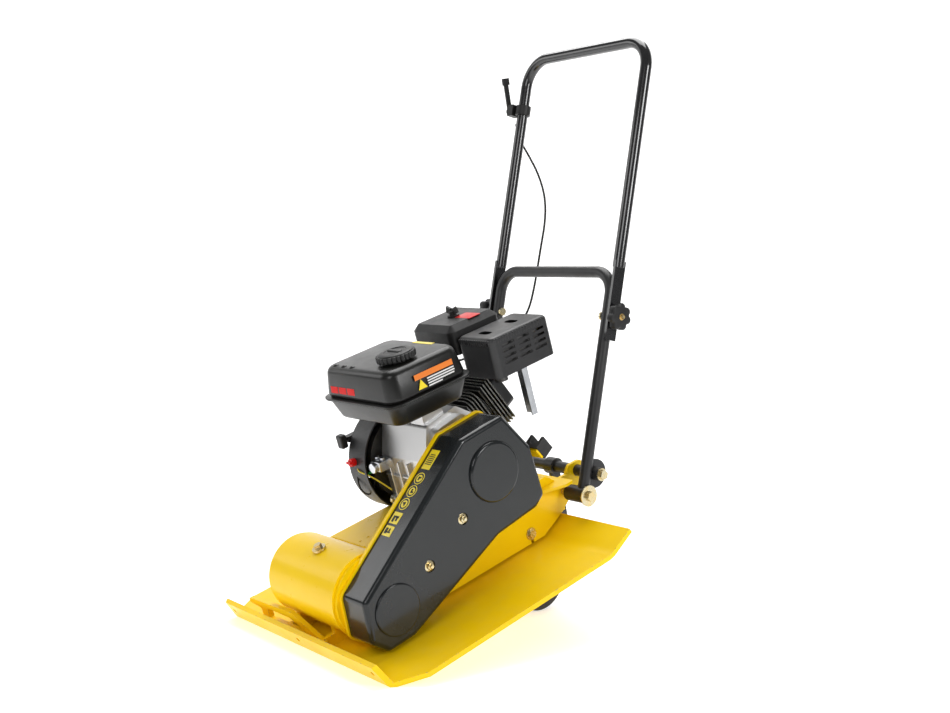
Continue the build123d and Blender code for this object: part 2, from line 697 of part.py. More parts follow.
# ---- engine -----------------------------------------------------------------------------
def tilted(x, along, across):
    """Location on the cylinder's axis: along it from the crank, across it upwards."""
    tilt = math.radians(cylinder_tilt)
    y = crank_y + along * math.cos(tilt) - across * math.sin(tilt)
    z = crank_z + along * math.sin(tilt) + across * math.cos(tilt)
    return Pos(x, y, z) * Rot(cylinder_tilt, 0, 0)


def crankcase():
    """Cast crankcase with a flat foot and a chamber for the crank."""
    body = yz_prism(yz_face(((326, deck_top_z + 12), (326, 268), (350, 340), (430, 352),
                             (472, 318), (472, deck_top_z + 12)), 10), case_left_x, case_right_x)
    foot = block(case_left_x - 4, case_right_x, 306, 486, deck_top_z, deck_top_z + 12)
    chamber = x_rod(crank_y, crank_z, 58, -42, 52)
    shaft_hole = x_rod(crank_y, crank_z, crank_radius + running_gap, -120, 120)
    case = body + foot - chamber - shaft_hole
    for x, y in engine_bolt_places():
        case -= z_rod(x, y, 4.4, deck_top_z - 5, deck_top_z + 20)
    for bracket in tank_brackets():
        case += bracket
    return case


def engine_bolt_places():
    """Places of the four foot bolts of the engine."""
    return [(x, y) for x in (case_left_x + 12, case_right_x - 14) for y in (315, 479)]


def engine_bolt(x, y):
    """Bolt that fastens the engine's foot to the deck."""
    top = deck_top_z + 12
    head = Pos(x, y, top + 2) * extrude(RegularPolygon(7, 6), 6)
    return z_rod(x, y, 4.0, top - 11.5, top + 2) + z_rod(x, y, 9, top, top + 2) + head


def side_cover():
    """Crankcase cover on the drive side, with the round mounting face of the shaft."""
    outline = yz_face(((332, 160), (332, 262), (356, 330), (424, 340), (464, 310), (464, 160)), 16)
    cover = yz_prism(outline, case_right_x, case_right_x + 22)
    cover += x_rod(crank_y, crank_z, 44, case_right_x, guard_back_x)
    return cover - x_rod(crank_y, crank_z, crank_radius + running_gap, case_right_x - 5,
                         guard_back_x + 5)


def crankshaft():
    """Shaft with two webs and an offset pin."""
    shaft = x_rod(crank_y, crank_z, crank_radius, fan_left_x + 6, belt_x + 44)
    shaft -= x_rod(crank_y, crank_z, crank_radius + 5, -14, 14)
    for low, high in ((-30, -14), (14, 30)):
        shaft += x_rod(crank_y, crank_z, 46, low, high)
    return shaft + x_rod(crank_y, crank_z + 29, 13, -15, 15)


def flywheel():
    """Flywheel with fan blades, behind the recoil starter."""
    wheel_left = fan_left_x + 14
    rotor = x_rod(crank_y, crank_z, flywheel_radius, wheel_left + 12, fan_right_x - 12)
    rotor += x_rod(crank_y, crank_z, 40, wheel_left, wheel_left + 13)
    for index in range(12):
        blade = Pos(wheel_left + 7, crank_y, crank_z) * Rot(index * 30 + 7, 0, 0)
        rotor += blade * Pos(0, 0, 61) * Box(11, 3, 52)
    return rotor - x_rod(crank_y, crank_z, crank_radius, wheel_left - 5, fan_right_x + 5)


def fan_face(grow=0.0):
    """Outline of the fan housing: round, with a duct towards the cylinder."""
    disc = Pos(crank_y, crank_z) * Circle(fan_radius + grow)
    duct = Pos(crank_y + 72, crank_z + 62) * Rectangle(110 + 2 * grow, 96 + 2 * grow)
    return disc + duct


def fan_housing():
    """Pressed housing round the flywheel, open towards the engine and the starter."""
    shell = yz_prism(fan_face(), fan_left_x, fan_right_x)
    inner = yz_prism(fan_face(-3), fan_left_x + 3, fan_right_x + 5)
    mouth = x_rod(crank_y, crank_z, recoil_radius - 12, fan_left_x - 5, fan_left_x + 8)
    over_deck = block(fan_left_x + fan_rim, fan_right_x + 5, crank_y - 200, crank_y + 200,
                      deck_top_z - 50, deck_top_z + free_gap)
    return shell - inner - mouth - over_deck


def recoil_cover():
    """Starter cover with rows of cooling slots and a guide for the rope."""
    cover = x_rod(crank_y, crank_z, recoil_radius, recoil_left_x, fan_left_x)
    cover = fillet(cover.faces().sort_by(Axis.X)[0].edges(), 10)
    inner = x_rod(crank_y, crank_z, recoil_radius - 3, recoil_left_x + 3, fan_left_x + 5)
    cover -= fillet(inner.faces().sort_by(Axis.X)[0].edges(), 7)
    for index in range(18):
        slot = Pos(recoil_left_x, crank_y, crank_z) * Rot(index * 20, 0, 0)
        cover -= slot * Pos(0, 0, 58) * Box(20, 5, 34)
    guide = Pos(rope_x(), crank_y - recoil_radius + 12, crank_z + 68) * Box(18, 26, 12)
    exit_hole = Pos(rope_x(), crank_y - recoil_radius, crank_z + 68) * Rot(90, 0, 0) * Cylinder(4, 120)
    rim = x_rod(crank_y, crank_z, recoil_radius - 3, recoil_left_x + 3, fan_left_x + 5)
    return cover + (guide - rim) - exit_hole


def rope_x():
    """Middle of the starter's depth, where the rope leaves it."""
    return (recoil_left_x + fan_left_x) / 2 + 1


def recoil_grip():
    """Starter grip with the first stretch of its rope."""
    grip_y = crank_y - recoil_radius - 12
    place = Pos(rope_x(), grip_y, crank_z + 68) * Rot(90, 0, 0)
    grip = place * fillet(Box(20, 30, 16).edges(), 4)
    rope = place * Pos(0, 0, -36) * Cylinder(2, 72)
    return grip + rope


def cylinder_barrel():
    """Cylinder with its cooling fins."""
    start = 64.0
    length = fin_pitch * fin_count
    bore = 34.0
    core = tilted(cylinder_x, start + length / 2, 0) * Rot(90, 0, 0) * Cylinder(47, length + 22)
    barrel = core
    for index in range(fin_count):
        along = start + fin_pitch * (index + 0.5)
        fin = Box(2 * fin_half_width, fin_thickness, 2 * fin_half_height)
        barrel += tilted(cylinder_x, along, 0) * fillet(fin.edges().filter_by(Axis.Y), 16)
    barrel -= tilted(cylinder_x, start + length / 2, 0) * Rot(90, 0, 0) * Cylinder(bore, length + 60)
    case_body = block(-200, 200, crank_y - 100, 472.2, deck_top_z, 352.2)
    return barrel - case_body


def cylinder_head():
    """Finned head with its exhaust and intake ports."""
    start = 64.0 + fin_pitch * fin_count + 11
    core = Box(2 * fin_half_width - 20, 34, 2 * fin_half_height - 22)
    head = tilted(cylinder_x, start + 17, 0) * core
    for index in range(4):
        fin = Box(2 * fin_half_width + 4, fin_thickness, 2 * fin_half_height)
        head += tilted(cylinder_x, start + 4 + index * fin_pitch, 0) * fin
    return head


def valve_cover():
    """Pressed cover over the valve gear, with one bolt."""
    start = 64.0 + fin_pitch * fin_count + 11 + 34
    cover = Box(2 * fin_half_width - 26, 26, 2 * fin_half_height - 28)
    cover = fillet(cover.edges().filter_by(Axis.Y), 14)
    return tilted(cylinder_x, start + 13, 0) * cover


# ---- fuel tank --------------------------------------------------------------------------
def tank_shell(z0, z1, taper, edge):
    """One half of the tank: a tray with a flat rim at z0."""
    wall = tank_wall
    left, right, front, rear = tank_left_x, tank_right_x, tank_front_y, tank_rear_y
    side = 1 if z1 > z0 else -1
    rim = rounded_box(left, right, front, rear, z0, z0 + side * 2.5, 34)
    inset = 7.0
    height = abs(z1 - z0)
    outline = RectangleRounded(right - left - 2 * inset, rear - front - 2 * inset, 28)
    cavity_outline = RectangleRounded(right - left - 2 * (inset + wall),
                                      rear - front - 2 * (inset + wall), 25)
    plane = Plane.XY if side > 0 else Plane.XY.rotated((180, 0, 0))
    middle = Pos((left + right) / 2, (front + rear) / 2, z0)
    outer = middle * extrude(plane * outline, height, taper=taper)
    cavity = middle * extrude(plane * cavity_outline, height - wall, taper=taper)
    end = -1 if side > 0 else 0
    outer = fillet(outer.faces().sort_by(Axis.Z)[end].edges(), edge)
    cavity = fillet(cavity.faces().sort_by(Axis.Z)[end].edges(), edge - wall)
    mouth = middle * extrude(plane * cavity_outline, 3)
    return outer + (rim - mouth) - cavity


def fuel_tank_upper():
    """Upper half of the tank with its filler neck."""
    upper = tank_shell(tank_seam_z, tank_top_z, 9.0, 15.0)
    neck_outer, neck_inner = 27.0, 24.0
    upper += z_rod(cap_x, cap_y, neck_outer, tank_top_z - tank_wall, tank_top_z + 8)
    return upper - z_rod(cap_x, cap_y, neck_inner, tank_top_z - 20, tank_top_z + 20)


def fuel_tank_lower():
    """Lower half of the tank."""
    return tank_shell(tank_seam_z, tank_bottom_z, 22.0, 12.0)


def tank_brackets():
    """Cast brackets between crankcase and tank."""
    low, high = 336.0, tank_bottom_z
    return [block(-62, -30, 352, 400, low, high), block(30, 74, 352, 404, low, high)]


def fuel_cap():
    """Ribbed fuel cap that closes over the neck."""
    low, high = tank_top_z + free_gap, tank_top_z + 22
    cap = z_rod(cap_x, cap_y, cap_radius, low + 3, high)
    cap = fillet(cap.faces().sort_by(Axis.Z)[-1].edges(), 4)
    for index in range(16):
        rib = Pos(cap_x, cap_y, (low + high) / 2) * Rot(0, 0, index * 22.5)
        cap += rib * Pos(cap_radius, 0, 0) * Box(4, 5, 13)
    return cap - z_rod(cap_x, cap_y, 27.4, low - 1, tank_top_z + 9)


# ---- air cleaner, carburettor and exhaust ------------------------------------------------
def air_cleaner_base():
    """Flat housing under the air cleaner's cover."""
    base = rounded_box(cleaner_left_x + 4, cleaner_right_x - 4, cleaner_front_y + 4,
                       cleaner_rear_y - 4, cleaner_base_z, cleaner_split_z, 16)
    stud = z_rod(*cleaner_middle(), 3, cleaner_split_z, cleaner_top_z + 14)
    return base + stud


def cleaner_middle():
    """Plan position of the air cleaner's stud."""
    return ((cleaner_left_x + cleaner_right_x) / 2, (cleaner_front_y + cleaner_rear_y) / 2)


def air_cleaner_cover():
    """Chamfered moulded cover of the air cleaner."""
    low, high = cleaner_split_z, cleaner_top_z
    cover = rounded_box(cleaner_left_x, cleaner_right_x, cleaner_front_y, cleaner_rear_y,
                        low, high, 16)
    cover = chamfer(cover.faces().sort_by(Axis.Z)[-1].edges(), 13)
    hollow = rounded_box(cleaner_left_x + 4, cleaner_right_x - 4, cleaner_front_y + 4,
                         cleaner_rear_y - 4, low - 1, high - 16, 12)
    return cover - hollow - z_rod(*cleaner_middle(), 3.3, low - 2, high + 5)


def wing_nut():
    """Wing nut on its red seat, holding the air cleaner's cover."""
    x, y = cleaner_middle()
    base = cleaner_top_z + free_gap
    nut = z_rod(x, y, 13, base, base + 3) + z_rod(x, y, 8, base + 2.5, base + 12)
    for side in (-1, 1):
        nut += Pos(x + side * 11, y, base + 13) * Rot(0, side * -20, 0) * Box(14, 5, 14)
    return nut - z_rod(x, y, 3.1, base - 2, base + 30)


def carburettor():
    """Carburettor between the head and the air cleaner."""
    left, right = carburettor_left_x, carburettor_left_x + 32
    middle = (left + right) / 2
    body = block(left, right, 520, 560, 372, 408)
    bowl = z_rod(middle, 540, 15, 352, 372)
    intake = z_rod(middle, 556, 14, 407, cleaner_base_z)
    elbow = block(left, right, 550, 572, 400, 412)
    return body + bowl + intake + elbow


def choke_lever():
    """Choke lever on the side of the carburettor."""
    face = carburettor_left_x - free_gap
    hub = x_rod(540, 398, 6, face - 6, face)
    blade = block(face - 6, face - 3, 522, 542, 396, 400)
    return hub + blade


def throttle_arm():
    """Arm on the carburettor that the throttle cable pulls."""
    face = carburettor_left_x - free_gap
    hub = x_rod(528, 384, 6, face - 6, face)
    blade = block(face - 6, face - 3, 526, 530, 384, 394)
    return hub + blade


def muffler():
    """Pressed muffler can with its inlet pipe and outlet."""
    can = block(56, 136, 522, 650, 394, 452)
    can = fillet(can.edges(), 12)
    pipe = z_rod(70, 572, 14, 352, 398)
    return can + pipe


def muffler_shroud():
    """Slotted heat guard over the muffler, open underneath."""
    guard = rounded_box(shroud_left_x, shroud_right_x, shroud_front_y, shroud_rear_y,
                        shroud_bottom_z, shroud_top_z, 14, 10)
    wall = shroud_wall
    guard -= rounded_box(shroud_left_x + wall, shroud_right_x - wall, shroud_front_y + wall,
                         shroud_rear_y - wall, shroud_bottom_z - 5, shroud_top_z - wall, 12, 8)
    for y in (540.0, 612.0):
        guard -= Pos(96, y, shroud_top_z) * extrude(SlotOverall(34, 18), 20, both=True)
    for column, y in enumerate((548.0, 590.0, 632.0)):
        for row in range(4):
            z = 408.0 + row * 12.5
            guard -= block(shroud_right_x - 10, shroud_right_x + 5, y - 16, y + 16, z, z + 5.5)
    for index in range(11):
        x = shroud_left_x + 16 + index * 8
        guard -= block(x, x + 4, shroud_front_y - 5, shroud_front_y + 6, shroud_top_z - 16,
                       shroud_top_z - 9)
    return guard


def exhaust_bracket():
    """Zinc-plated channel that stiffens the muffler at its rear."""
    channel = block(84, 116, 606, 609, 268, 394) + block(113, 116, 594, 609, 268, 394)
    return channel + block(84, 116, 594, 609, 391, 393.8)


def engine_switch():
    """Red rotary stop switch with a grip, on the front of the fan housing."""
    start = fan_radius + free_gap
    knob = Pos(0, 0, start + switch_length / 2) * Cylinder(switch_radius, switch_length)
    grip = Pos(0, 0, start + switch_length + 2) * Box(2 * switch_radius - 2, 5, 6)
    return Pos(switch_x, crank_y, crank_z) * Rot(90 - switch_angle, 0, 0) * (knob + grip)


def oil_dipstick():
    """Yellow-handled oil filler plug low on the crankcase."""
    return Pos(30, 318, 176) * Rot(90, 0, 0) * (Cylinder(11, 15.8))


# ---- throttle ---------------------------------------------------------------------------
def clamp_frame():
    """Location of the throttle clamp on the left leg, its z up the leg."""
    y, z = leg_point(clamp_height)
    return Pos(-upper_half_width, y, z) * Rot(-handle_lean, 0, 0)


def throttle_clamp():
    """Split clamp with the lever's housing."""
    ring = Cylinder(tube_radius + 5, 22) - Cylinder(tube_radius, 30)
    housing = Pos(-tube_radius - 13, -8, 0) * Box(18, 24, 26)
    boss = Pos(-tube_radius - 4, 0, 0) * Box(10, 14, 20)
    body = ring + (boss - Cylinder(tube_radius, 40)) + housing
    return clamp_frame() * body


def throttle_lever():
    """Thumb lever that turns on the housing's outer face."""
    x = -tube_radius - 22 - free_gap
    hub = Pos(x - 3, -8, 0) * Rot(0, 90, 0) * Cylinder(10, 6)
    blade = Pos(x - 4, -22, 34) * Rot(22, 0, 0) * Box(4, 12, 66)
    tip = Pos(x - 4, -34, 66) * Rot(22, 0, 0) * Box(6, 18, 16)
    return clamp_frame() * (hub + blade + tip)


def cable(points):
    """Cable along a route, each bend as large as its runs allow; prints its radii."""
    radii = []
    for before, here, after in zip(points, points[1:], points[2:]):
        a, b = Vector(*here) - Vector(*before), Vector(*after) - Vector(*here)
        turn = math.radians(a.get_angle(b))
        radii.append(0.45 * min(a.length, b.length) / math.tan(turn / 2))
    route = FilletPolyline(*points, radius=radii)
    tube = sweep(Plane(origin=route @ 0, z_dir=route % 0) * Circle(cable_radius), path=route)
    print("cable length", round(route.length, 1), "radii", [round(r) for r in radii],
          "volume ratio", round(tube.volume / (math.pi * cable_radius ** 2 * route.length), 4))
    return tube


def cable_upper_points():
    """Route of the throttle cable beside the left leg of the upper handle."""
    return [(-222.0, 1022.0, 815.0), (-216.0, 1014.0, 782.0), (-190.0, 1010.0, 742.0),
            (-158.0, 1000.0, 694.0), (-130.0, 980.0, 642.0), (-116.0, 950.0, 590.0),
            (-110.0, 914.0, 540.0), (-106.0, 882.0, 490.0)]


def cable_lower_points():
    """Route of the throttle cable from the lower handle to the carburettor."""
    return [(-105.9, 881.6, 489.4), (-102.6, 856.0, 446.0), (-100.0, 826.0, 408.0),
            (-98.0, 780.0, 382.0), (-97.0, 728.0, 370.0), (-96.0, 676.0, 366.0),
            (-95.0, 630.0, 370.0), (-94.0, 590.0, 378.0)]


# ---- stance -----------------------------------------------------------------------------
def stance():
    """Rotation that stands the machine on its toe and wheels, and the floor's height then."""
    dy, dz = wheel_y - (toe_y + toe_bend), wheel_z - toe_bend
    pitch = -(math.atan2(dz, dy) - math.asin((wheel_radius - toe_bend) / math.hypot(dy, dz)))
    low = ((toe_y + toe_bend) * math.sin(pitch) + toe_bend * math.cos(pitch)) - toe_bend
    return math.degrees(pitch), low


def all_nodes():
    """Every named piece, in the machine's own frame; a list holds separate solids."""
    return {
        "base_plate": base_plate(),
        "front_bracket": front_bracket(),
        "exciter_housing": exciter_housing(),
        "exciter_cover_left": exciter_cover(-1),
        "exciter_cover_right": exciter_cover(1),
        "exciter_bearings": exciter_bearings(),
        "exciter_shaft": exciter_shaft(),
        "eccentric_weight": eccentric_weight(),
        "exciter_plug": exciter_plug(),
        "engine_deck": engine_deck(),
        "rubber_mounts": [half for y in mount_y for half in mirrored_pair(mount_rubber(y))],
        "mount_bolts": [half for y in mount_y for half in mirrored_pair(mount_bolt(y))],
        "stop_bar": stop_bar(),
        "stop_bar_tabs": mirrored_pair(bar_tab()),
        "handle_bumpers": mirrored_pair(bumper()),
        "handle_bolts": mirrored_pair(bar_bolt()) + mirrored_pair(pivot_bolt()),
        "wheel_carrier": wheel_carrier(),
        "wheel_right": wheel(),
        "wheel_left": mirror(wheel(), Plane.YZ),
        "lower_handle": lower_handle(),
        "upper_handle": upper_handle(),
        "knob_bolts": mirrored_pair(knob_bolt()),
        "knob_right": star_knob(),
        "knob_left": mirror(star_knob(), Plane.YZ),
        "belt_guard_back": belt_guard_back(),
        "belt_cover": belt_cover(),
        "exciter_pulley": exciter_pulley(),
        "clutch_pulley": clutch_pulley(),
        "clutch_hub": clutch_hub(),
        "v_belt": v_belt(),
        "handle_rest": handle_rest(),
        "crankcase": crankcase(),
        "engine_bolts": [engine_bolt(*place) for place in engine_bolt_places()]
        + [cover_bolt(*place) for place in cover_bolt_places],
        "side_cover": side_cover(),
        "crankshaft": crankshaft(),
        "flywheel": flywheel(),
        "fan_housing": fan_housing(),
        "recoil_cover": recoil_cover(),
        "recoil_grip": recoil_grip(),
        "cylinder_barrel": cylinder_barrel(),
        "cylinder_head": cylinder_head(),
        "valve_cover": valve_cover(),
        "fuel_tank_upper": fuel_tank_upper(),
        "fuel_tank_lower": fuel_tank_lower(),
        "fuel_cap": fuel_cap(),
        "air_cleaner_base": air_cleaner_base(),
        "air_cleaner_cover": air_cleaner_cover(),
        "wing_nut": wing_nut(),
        "carburettor": carburettor(),
        "choke_lever": choke_lever(),
        "throttle_arm": throttle_arm(),
        "muffler": muffler(),
        "muffler_shroud": muffler_shroud(),
        "exhaust_bracket": exhaust_bracket(),
        "engine_switch": engine_switch(),
        "oil_dipstick": oil_dipstick(),
        "throttle_clamp": throttle_clamp(),
        "throttle_lever": throttle_lever(),
        "throttle_cable_upper": cable(cable_upper_points()),
        "throttle_cable_lower": cable(cable_lower_points()),
    }


def main():
    """Build every piece, stand the machine up and write one STEP file for each."""
    os.makedirs("parts", exist_ok=True)
    pitch, floor = stance()
    stood = {}
    for name, pieces in all_nodes().items():
        pieces = pieces if isinstance(pieces, list) else [pieces]
        stood[name] = [Rot(pitch, 0, 0) * solid for piece in pieces for solid in piece.solids()]
    box = Compound([solid for solids in stood.values() for solid in solids]).bounding_box()
    middle = (box.min.Y + box.max.Y) / 2
    print("pitch", round(pitch, 5), "floor", round(floor, 5), "middle", round(middle, 5))
    for name, solids in stood.items():
        solids = [Pos(0, -middle, -floor) * solid for solid in solids]
        export_step(Compound(solids) if len(solids) > 1 else solids[0], f"parts/{name}.step")


main()
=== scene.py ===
import json
import logging
import math
from dataclasses import dataclass, field
from enum import Enum

import bmesh
import bpy
from mathutils import Matrix, Vector


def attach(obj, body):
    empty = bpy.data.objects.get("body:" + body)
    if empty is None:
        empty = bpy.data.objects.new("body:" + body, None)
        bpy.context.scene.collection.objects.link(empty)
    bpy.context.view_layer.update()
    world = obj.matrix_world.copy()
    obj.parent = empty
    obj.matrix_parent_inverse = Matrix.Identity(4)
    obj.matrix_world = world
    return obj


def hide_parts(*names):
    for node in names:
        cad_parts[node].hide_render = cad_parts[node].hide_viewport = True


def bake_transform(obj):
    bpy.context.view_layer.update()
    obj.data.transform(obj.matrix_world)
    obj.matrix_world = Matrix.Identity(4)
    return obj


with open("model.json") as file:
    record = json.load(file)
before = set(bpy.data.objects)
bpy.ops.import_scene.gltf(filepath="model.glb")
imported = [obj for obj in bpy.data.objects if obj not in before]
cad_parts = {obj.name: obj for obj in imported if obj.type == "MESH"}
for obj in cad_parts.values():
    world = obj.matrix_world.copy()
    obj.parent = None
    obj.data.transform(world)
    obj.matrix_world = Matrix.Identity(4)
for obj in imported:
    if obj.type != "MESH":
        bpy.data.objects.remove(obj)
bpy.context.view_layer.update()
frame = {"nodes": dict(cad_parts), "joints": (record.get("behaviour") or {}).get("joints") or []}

Colour = tuple[float, float, float]
Place = tuple[float, float, float]
Profile = list[tuple[float, float]]
LOG = logging.getLogger("plate_compactor")
MM = 0.001
HALF_TURN = Matrix.Rotation(math.pi, 4, "X")


# ---- the machine's own frame --------------------------------------------------------------
class Machine:
    """The machine's own frame in millimetres, z square to the sole, and its place in the row.

    The fuel cap turns about the machine's z axis, and the handle folds at a known point.
    """

    fold_point = Vector((0.0, 622.0, 82.0))

    def __init__(self) -> None:
        """Work out the pitch and the shift from the record's joints."""
        self.joints = {joint["name"]: joint for joint in frame["joints"]}
        axis = Vector(self.joints["fuel_cap_turn"]["axis"])
        self.pitch = math.atan2(-axis.y, axis.z)
        turn = Matrix.Rotation(self.pitch, 4, "X") @ Matrix.Scale(MM, 4)
        fold = Vector(self.joints["handle_fold"]["pos_m"])
        self.to_row = Matrix.Translation(fold - turn @ self.fold_point) @ turn
        self.from_row = self.to_row.inverted()

    def joint(self, name: str) -> Vector:
        """Return a hinge's place in the machine's frame, in millimetres."""
        return self.from_row @ Vector(self.joints[name]["pos_m"])

    def box(self, node: str) -> tuple[Vector, Vector]:
        """Return a node's lowest and highest corners in the machine's frame.

        Args:
            node: name of the CAD node.

        Returns:
            The two corners, in millimetres.
        """
        points = [self.from_row @ vertex.co for vertex in frame["nodes"][node].data.vertices]
        low = Vector(min(point[i] for point in points) for i in range(3))
        high = Vector(max(point[i] for point in points) for i in range(3))
        return low, high


MACHINE = Machine()


class Axis(Enum):
    """Axis of the machine that a round piece is turned about."""

    X = "X"
    Y = "Y"
    Z = "Z"

    def turn(self) -> Matrix:
        """Return the rotation that takes +Z to this axis."""
        if self is Axis.X:
            return Matrix.Rotation(math.pi / 2, 4, "Y")
        if self is Axis.Y:
            return Matrix.Rotation(-math.pi / 2, 4, "X")
        return Matrix.Identity(4)


# ---- finishes -----------------------------------------------------------------------------
class NodeBoard:
    """Short hand for building a node material."""

    def __init__(self, name: str) -> None:
        """Start a material with a Principled shader."""
        self.material = bpy.data.materials.new(name)
        self.material.use_nodes = True
        self.tree = self.material.node_tree
        self.shader = self.tree.nodes["Principled BSDF"]
        self.place = self.add("ShaderNodeTexCoord").outputs["Object"]

    def add(self, kind: str, **values: object) -> bpy.types.Node:
        """Add a node.

        Args:
            kind: type name of the node.
            **values: properties to set on it.

        Returns:
            The new node.
        """
        node = self.tree.nodes.new(kind)
        for key, value in values.items():
            setattr(node, key, value)
        return node

    def link(self, source: bpy.types.NodeSocket, target: bpy.types.NodeSocket) -> None:
        """Join two sockets."""
        self.tree.links.new(source, target)

    def stretch(self, scale: Colour) -> bpy.types.NodeSocket:
        """Stretch the object's coordinates.

        Args:
            scale: scale of each axis.

        Returns:
            The stretched coordinates' socket.
        """
        node = self.add("ShaderNodeMapping")
        node.inputs["Scale"].default_value = scale
        self.link(self.place, node.inputs["Vector"])
        return node.outputs["Vector"]

    def noise(self, scale: float, detail: float = 4.0, rough: float = 0.55,
              stretch: Colour = (1.0, 1.0, 1.0)) -> bpy.types.NodeSocket:
        """Return the value of a noise texture on the object's coordinates.

        Args:
            scale: features per metre.
            detail: octaves of the noise.
            rough: strength of the fine octaves.
            stretch: scale of each axis before the noise is read.

        Returns:
            The noise's value socket.
        """
        node = self.add("ShaderNodeTexNoise")
        self.link(self.stretch(stretch), node.inputs["Vector"])
        node.inputs["Scale"].default_value = scale
        node.inputs["Detail"].default_value = detail
        node.inputs["Roughness"].default_value = rough
        return node.outputs["Fac"]

    def span(self, value: bpy.types.NodeSocket, low: float, high: float, to_low: float = 0.0,
             to_high: float = 1.0) -> bpy.types.NodeSocket:
        """Map a value from one range to another, clamped.

        Args:
            value: the value's socket.
            low: value that gives to_low.
            high: value that gives to_high.
            to_low: result at low.
            to_high: result at high.

        Returns:
            The result's socket.
        """
        node = self.add("ShaderNodeMapRange")
        self.link(value, node.inputs["Value"])
        for key, number in (("From Min", low), ("From Max", high), ("To Min", to_low), ("To Max", to_high)):
            node.inputs[key].default_value = number
        return node.outputs["Result"]

    def mix(self, share: bpy.types.NodeSocket, first: object, second: object) -> bpy.types.NodeSocket:
        """Mix two colours, each a socket or a plain colour.

        Args:
            share: share of the second colour.
            first: the first colour.
            second: the second colour.

        Returns:
            The mixed colour's socket.
        """
        node = self.add("ShaderNodeMix", data_type="RGBA")
        self.link(share, node.inputs["Factor"])
        for socket, value in ((node.inputs[6], first), (node.inputs[7], second)):
            if isinstance(value, bpy.types.NodeSocket):
                self.link(value, socket)
            else:
                socket.default_value = (*value, 1.0)
        return node.outputs[2]

    def maths(self, what: str, first: object, second: object = 0.0) -> bpy.types.NodeSocket:
        """Work out a sum, product or other operation, clamped.

        Args:
            what: name of the operation.
            first: a socket or a number.
            second: a socket or a number.

        Returns:
            The result's socket.
        """
        node = self.add("ShaderNodeMath", operation=what, use_clamp=True)
        for socket, value in zip(node.inputs, (first, second)):
            if isinstance(value, bpy.types.NodeSocket):
                self.link(value, socket)
            else:
                socket.default_value = value
        return node.outputs[0]

    def edges(self, radius: float) -> bpy.types.NodeSocket:
        """Mask the convex and concave edges.

        Args:
            radius: width of the mask, in metres.

        Returns:
            The mask's socket.
        """
        bevel = self.add("ShaderNodeBevel", samples=4)
        bevel.inputs["Radius"].default_value = radius
        flat = self.add("ShaderNodeNewGeometry").outputs["Normal"]
        dot = self.add("ShaderNodeVectorMath", operation="DOT_PRODUCT")
        self.link(bevel.outputs["Normal"], dot.inputs[0])
        self.link(flat, dot.inputs[1])
        return self.span(dot.outputs["Value"], 0.998, 0.90)

    def bump(self, height: bpy.types.NodeSocket, depth: float) -> None:
        """Add a bump to the shader's normal.

        Args:
            height: the height's socket.
            depth: depth of the bump, in metres.
        """
        node = self.add("ShaderNodeBump")
        node.inputs["Strength"].default_value = 1.0
        node.inputs["Distance"].default_value = depth
        self.link(height, node.inputs["Height"])
        self.link(node.outputs["Normal"], self.shader.inputs["Normal"])


@dataclass(frozen=True)
class Finish:
    """One surface finish: two tones, a roughness range, a grain and worn edges."""

    name: str
    base: Colour
    shade: Colour
    rough: tuple[float, float] = (0.35, 0.5)
    metallic: float = 0.0
    mottle: float = 9.0
    grain: float = 900.0
    grain_depth: float = 0.00002
    stretch: Colour = (1.0, 1.0, 1.0)
    wear: Colour | None = None
    wear_width: float = 0.0012
    wear_share: tuple[float, float] = (0.52, 0.62)
    coat: float = 0.0
    coat_rough: float = 0.08
    specular: float = 0.5
    dust: float = 0.0
    dust_colour: Colour = (0.42, 0.38, 0.30)

    def material(self) -> bpy.types.Material:
        """Build the node material."""
        board = NodeBoard(self.name)
        shader = board.shader.inputs
        mottle = board.noise(self.mottle, 5.0, 0.6, self.stretch)
        colour = board.mix(board.span(mottle, 0.35, 0.68), self.base, self.shade)
        rough = board.span(board.noise(self.mottle * 4.7, 6.0, 0.65, self.stretch), 0.3, 0.7, *self.rough)
        if self.dust:
            up = board.add("ShaderNodeSeparateXYZ")
            board.link(board.add("ShaderNodeNewGeometry").outputs["Normal"], up.inputs[0])
            lying = board.span(up.outputs["Z"], 0.35, 1.0, 0.0, self.dust)
            patchy = board.span(board.noise(26.0, 6.0, 0.7), 0.42, 0.75)
            settled = board.maths("MULTIPLY", lying, patchy)
            colour = board.mix(settled, colour, self.dust_colour)
        if self.wear is not None:
            chips = board.span(board.noise(170.0, 5.0, 0.7), *self.wear_share)
            worn = board.maths("MULTIPLY", board.edges(self.wear_width), chips)
            colour = board.mix(worn, colour, self.wear)
        board.link(colour, shader["Base Color"])
        board.link(rough, shader["Roughness"])
        shader["Metallic"].default_value = self.metallic
        shader["Specular IOR Level"].default_value = self.specular
        shader["Coat Weight"].default_value = self.coat
        shader["Coat Roughness"].default_value = self.coat_rough
        board.bump(board.noise(self.grain, 3.0, 0.5, self.stretch), self.grain_depth)
        return board.material


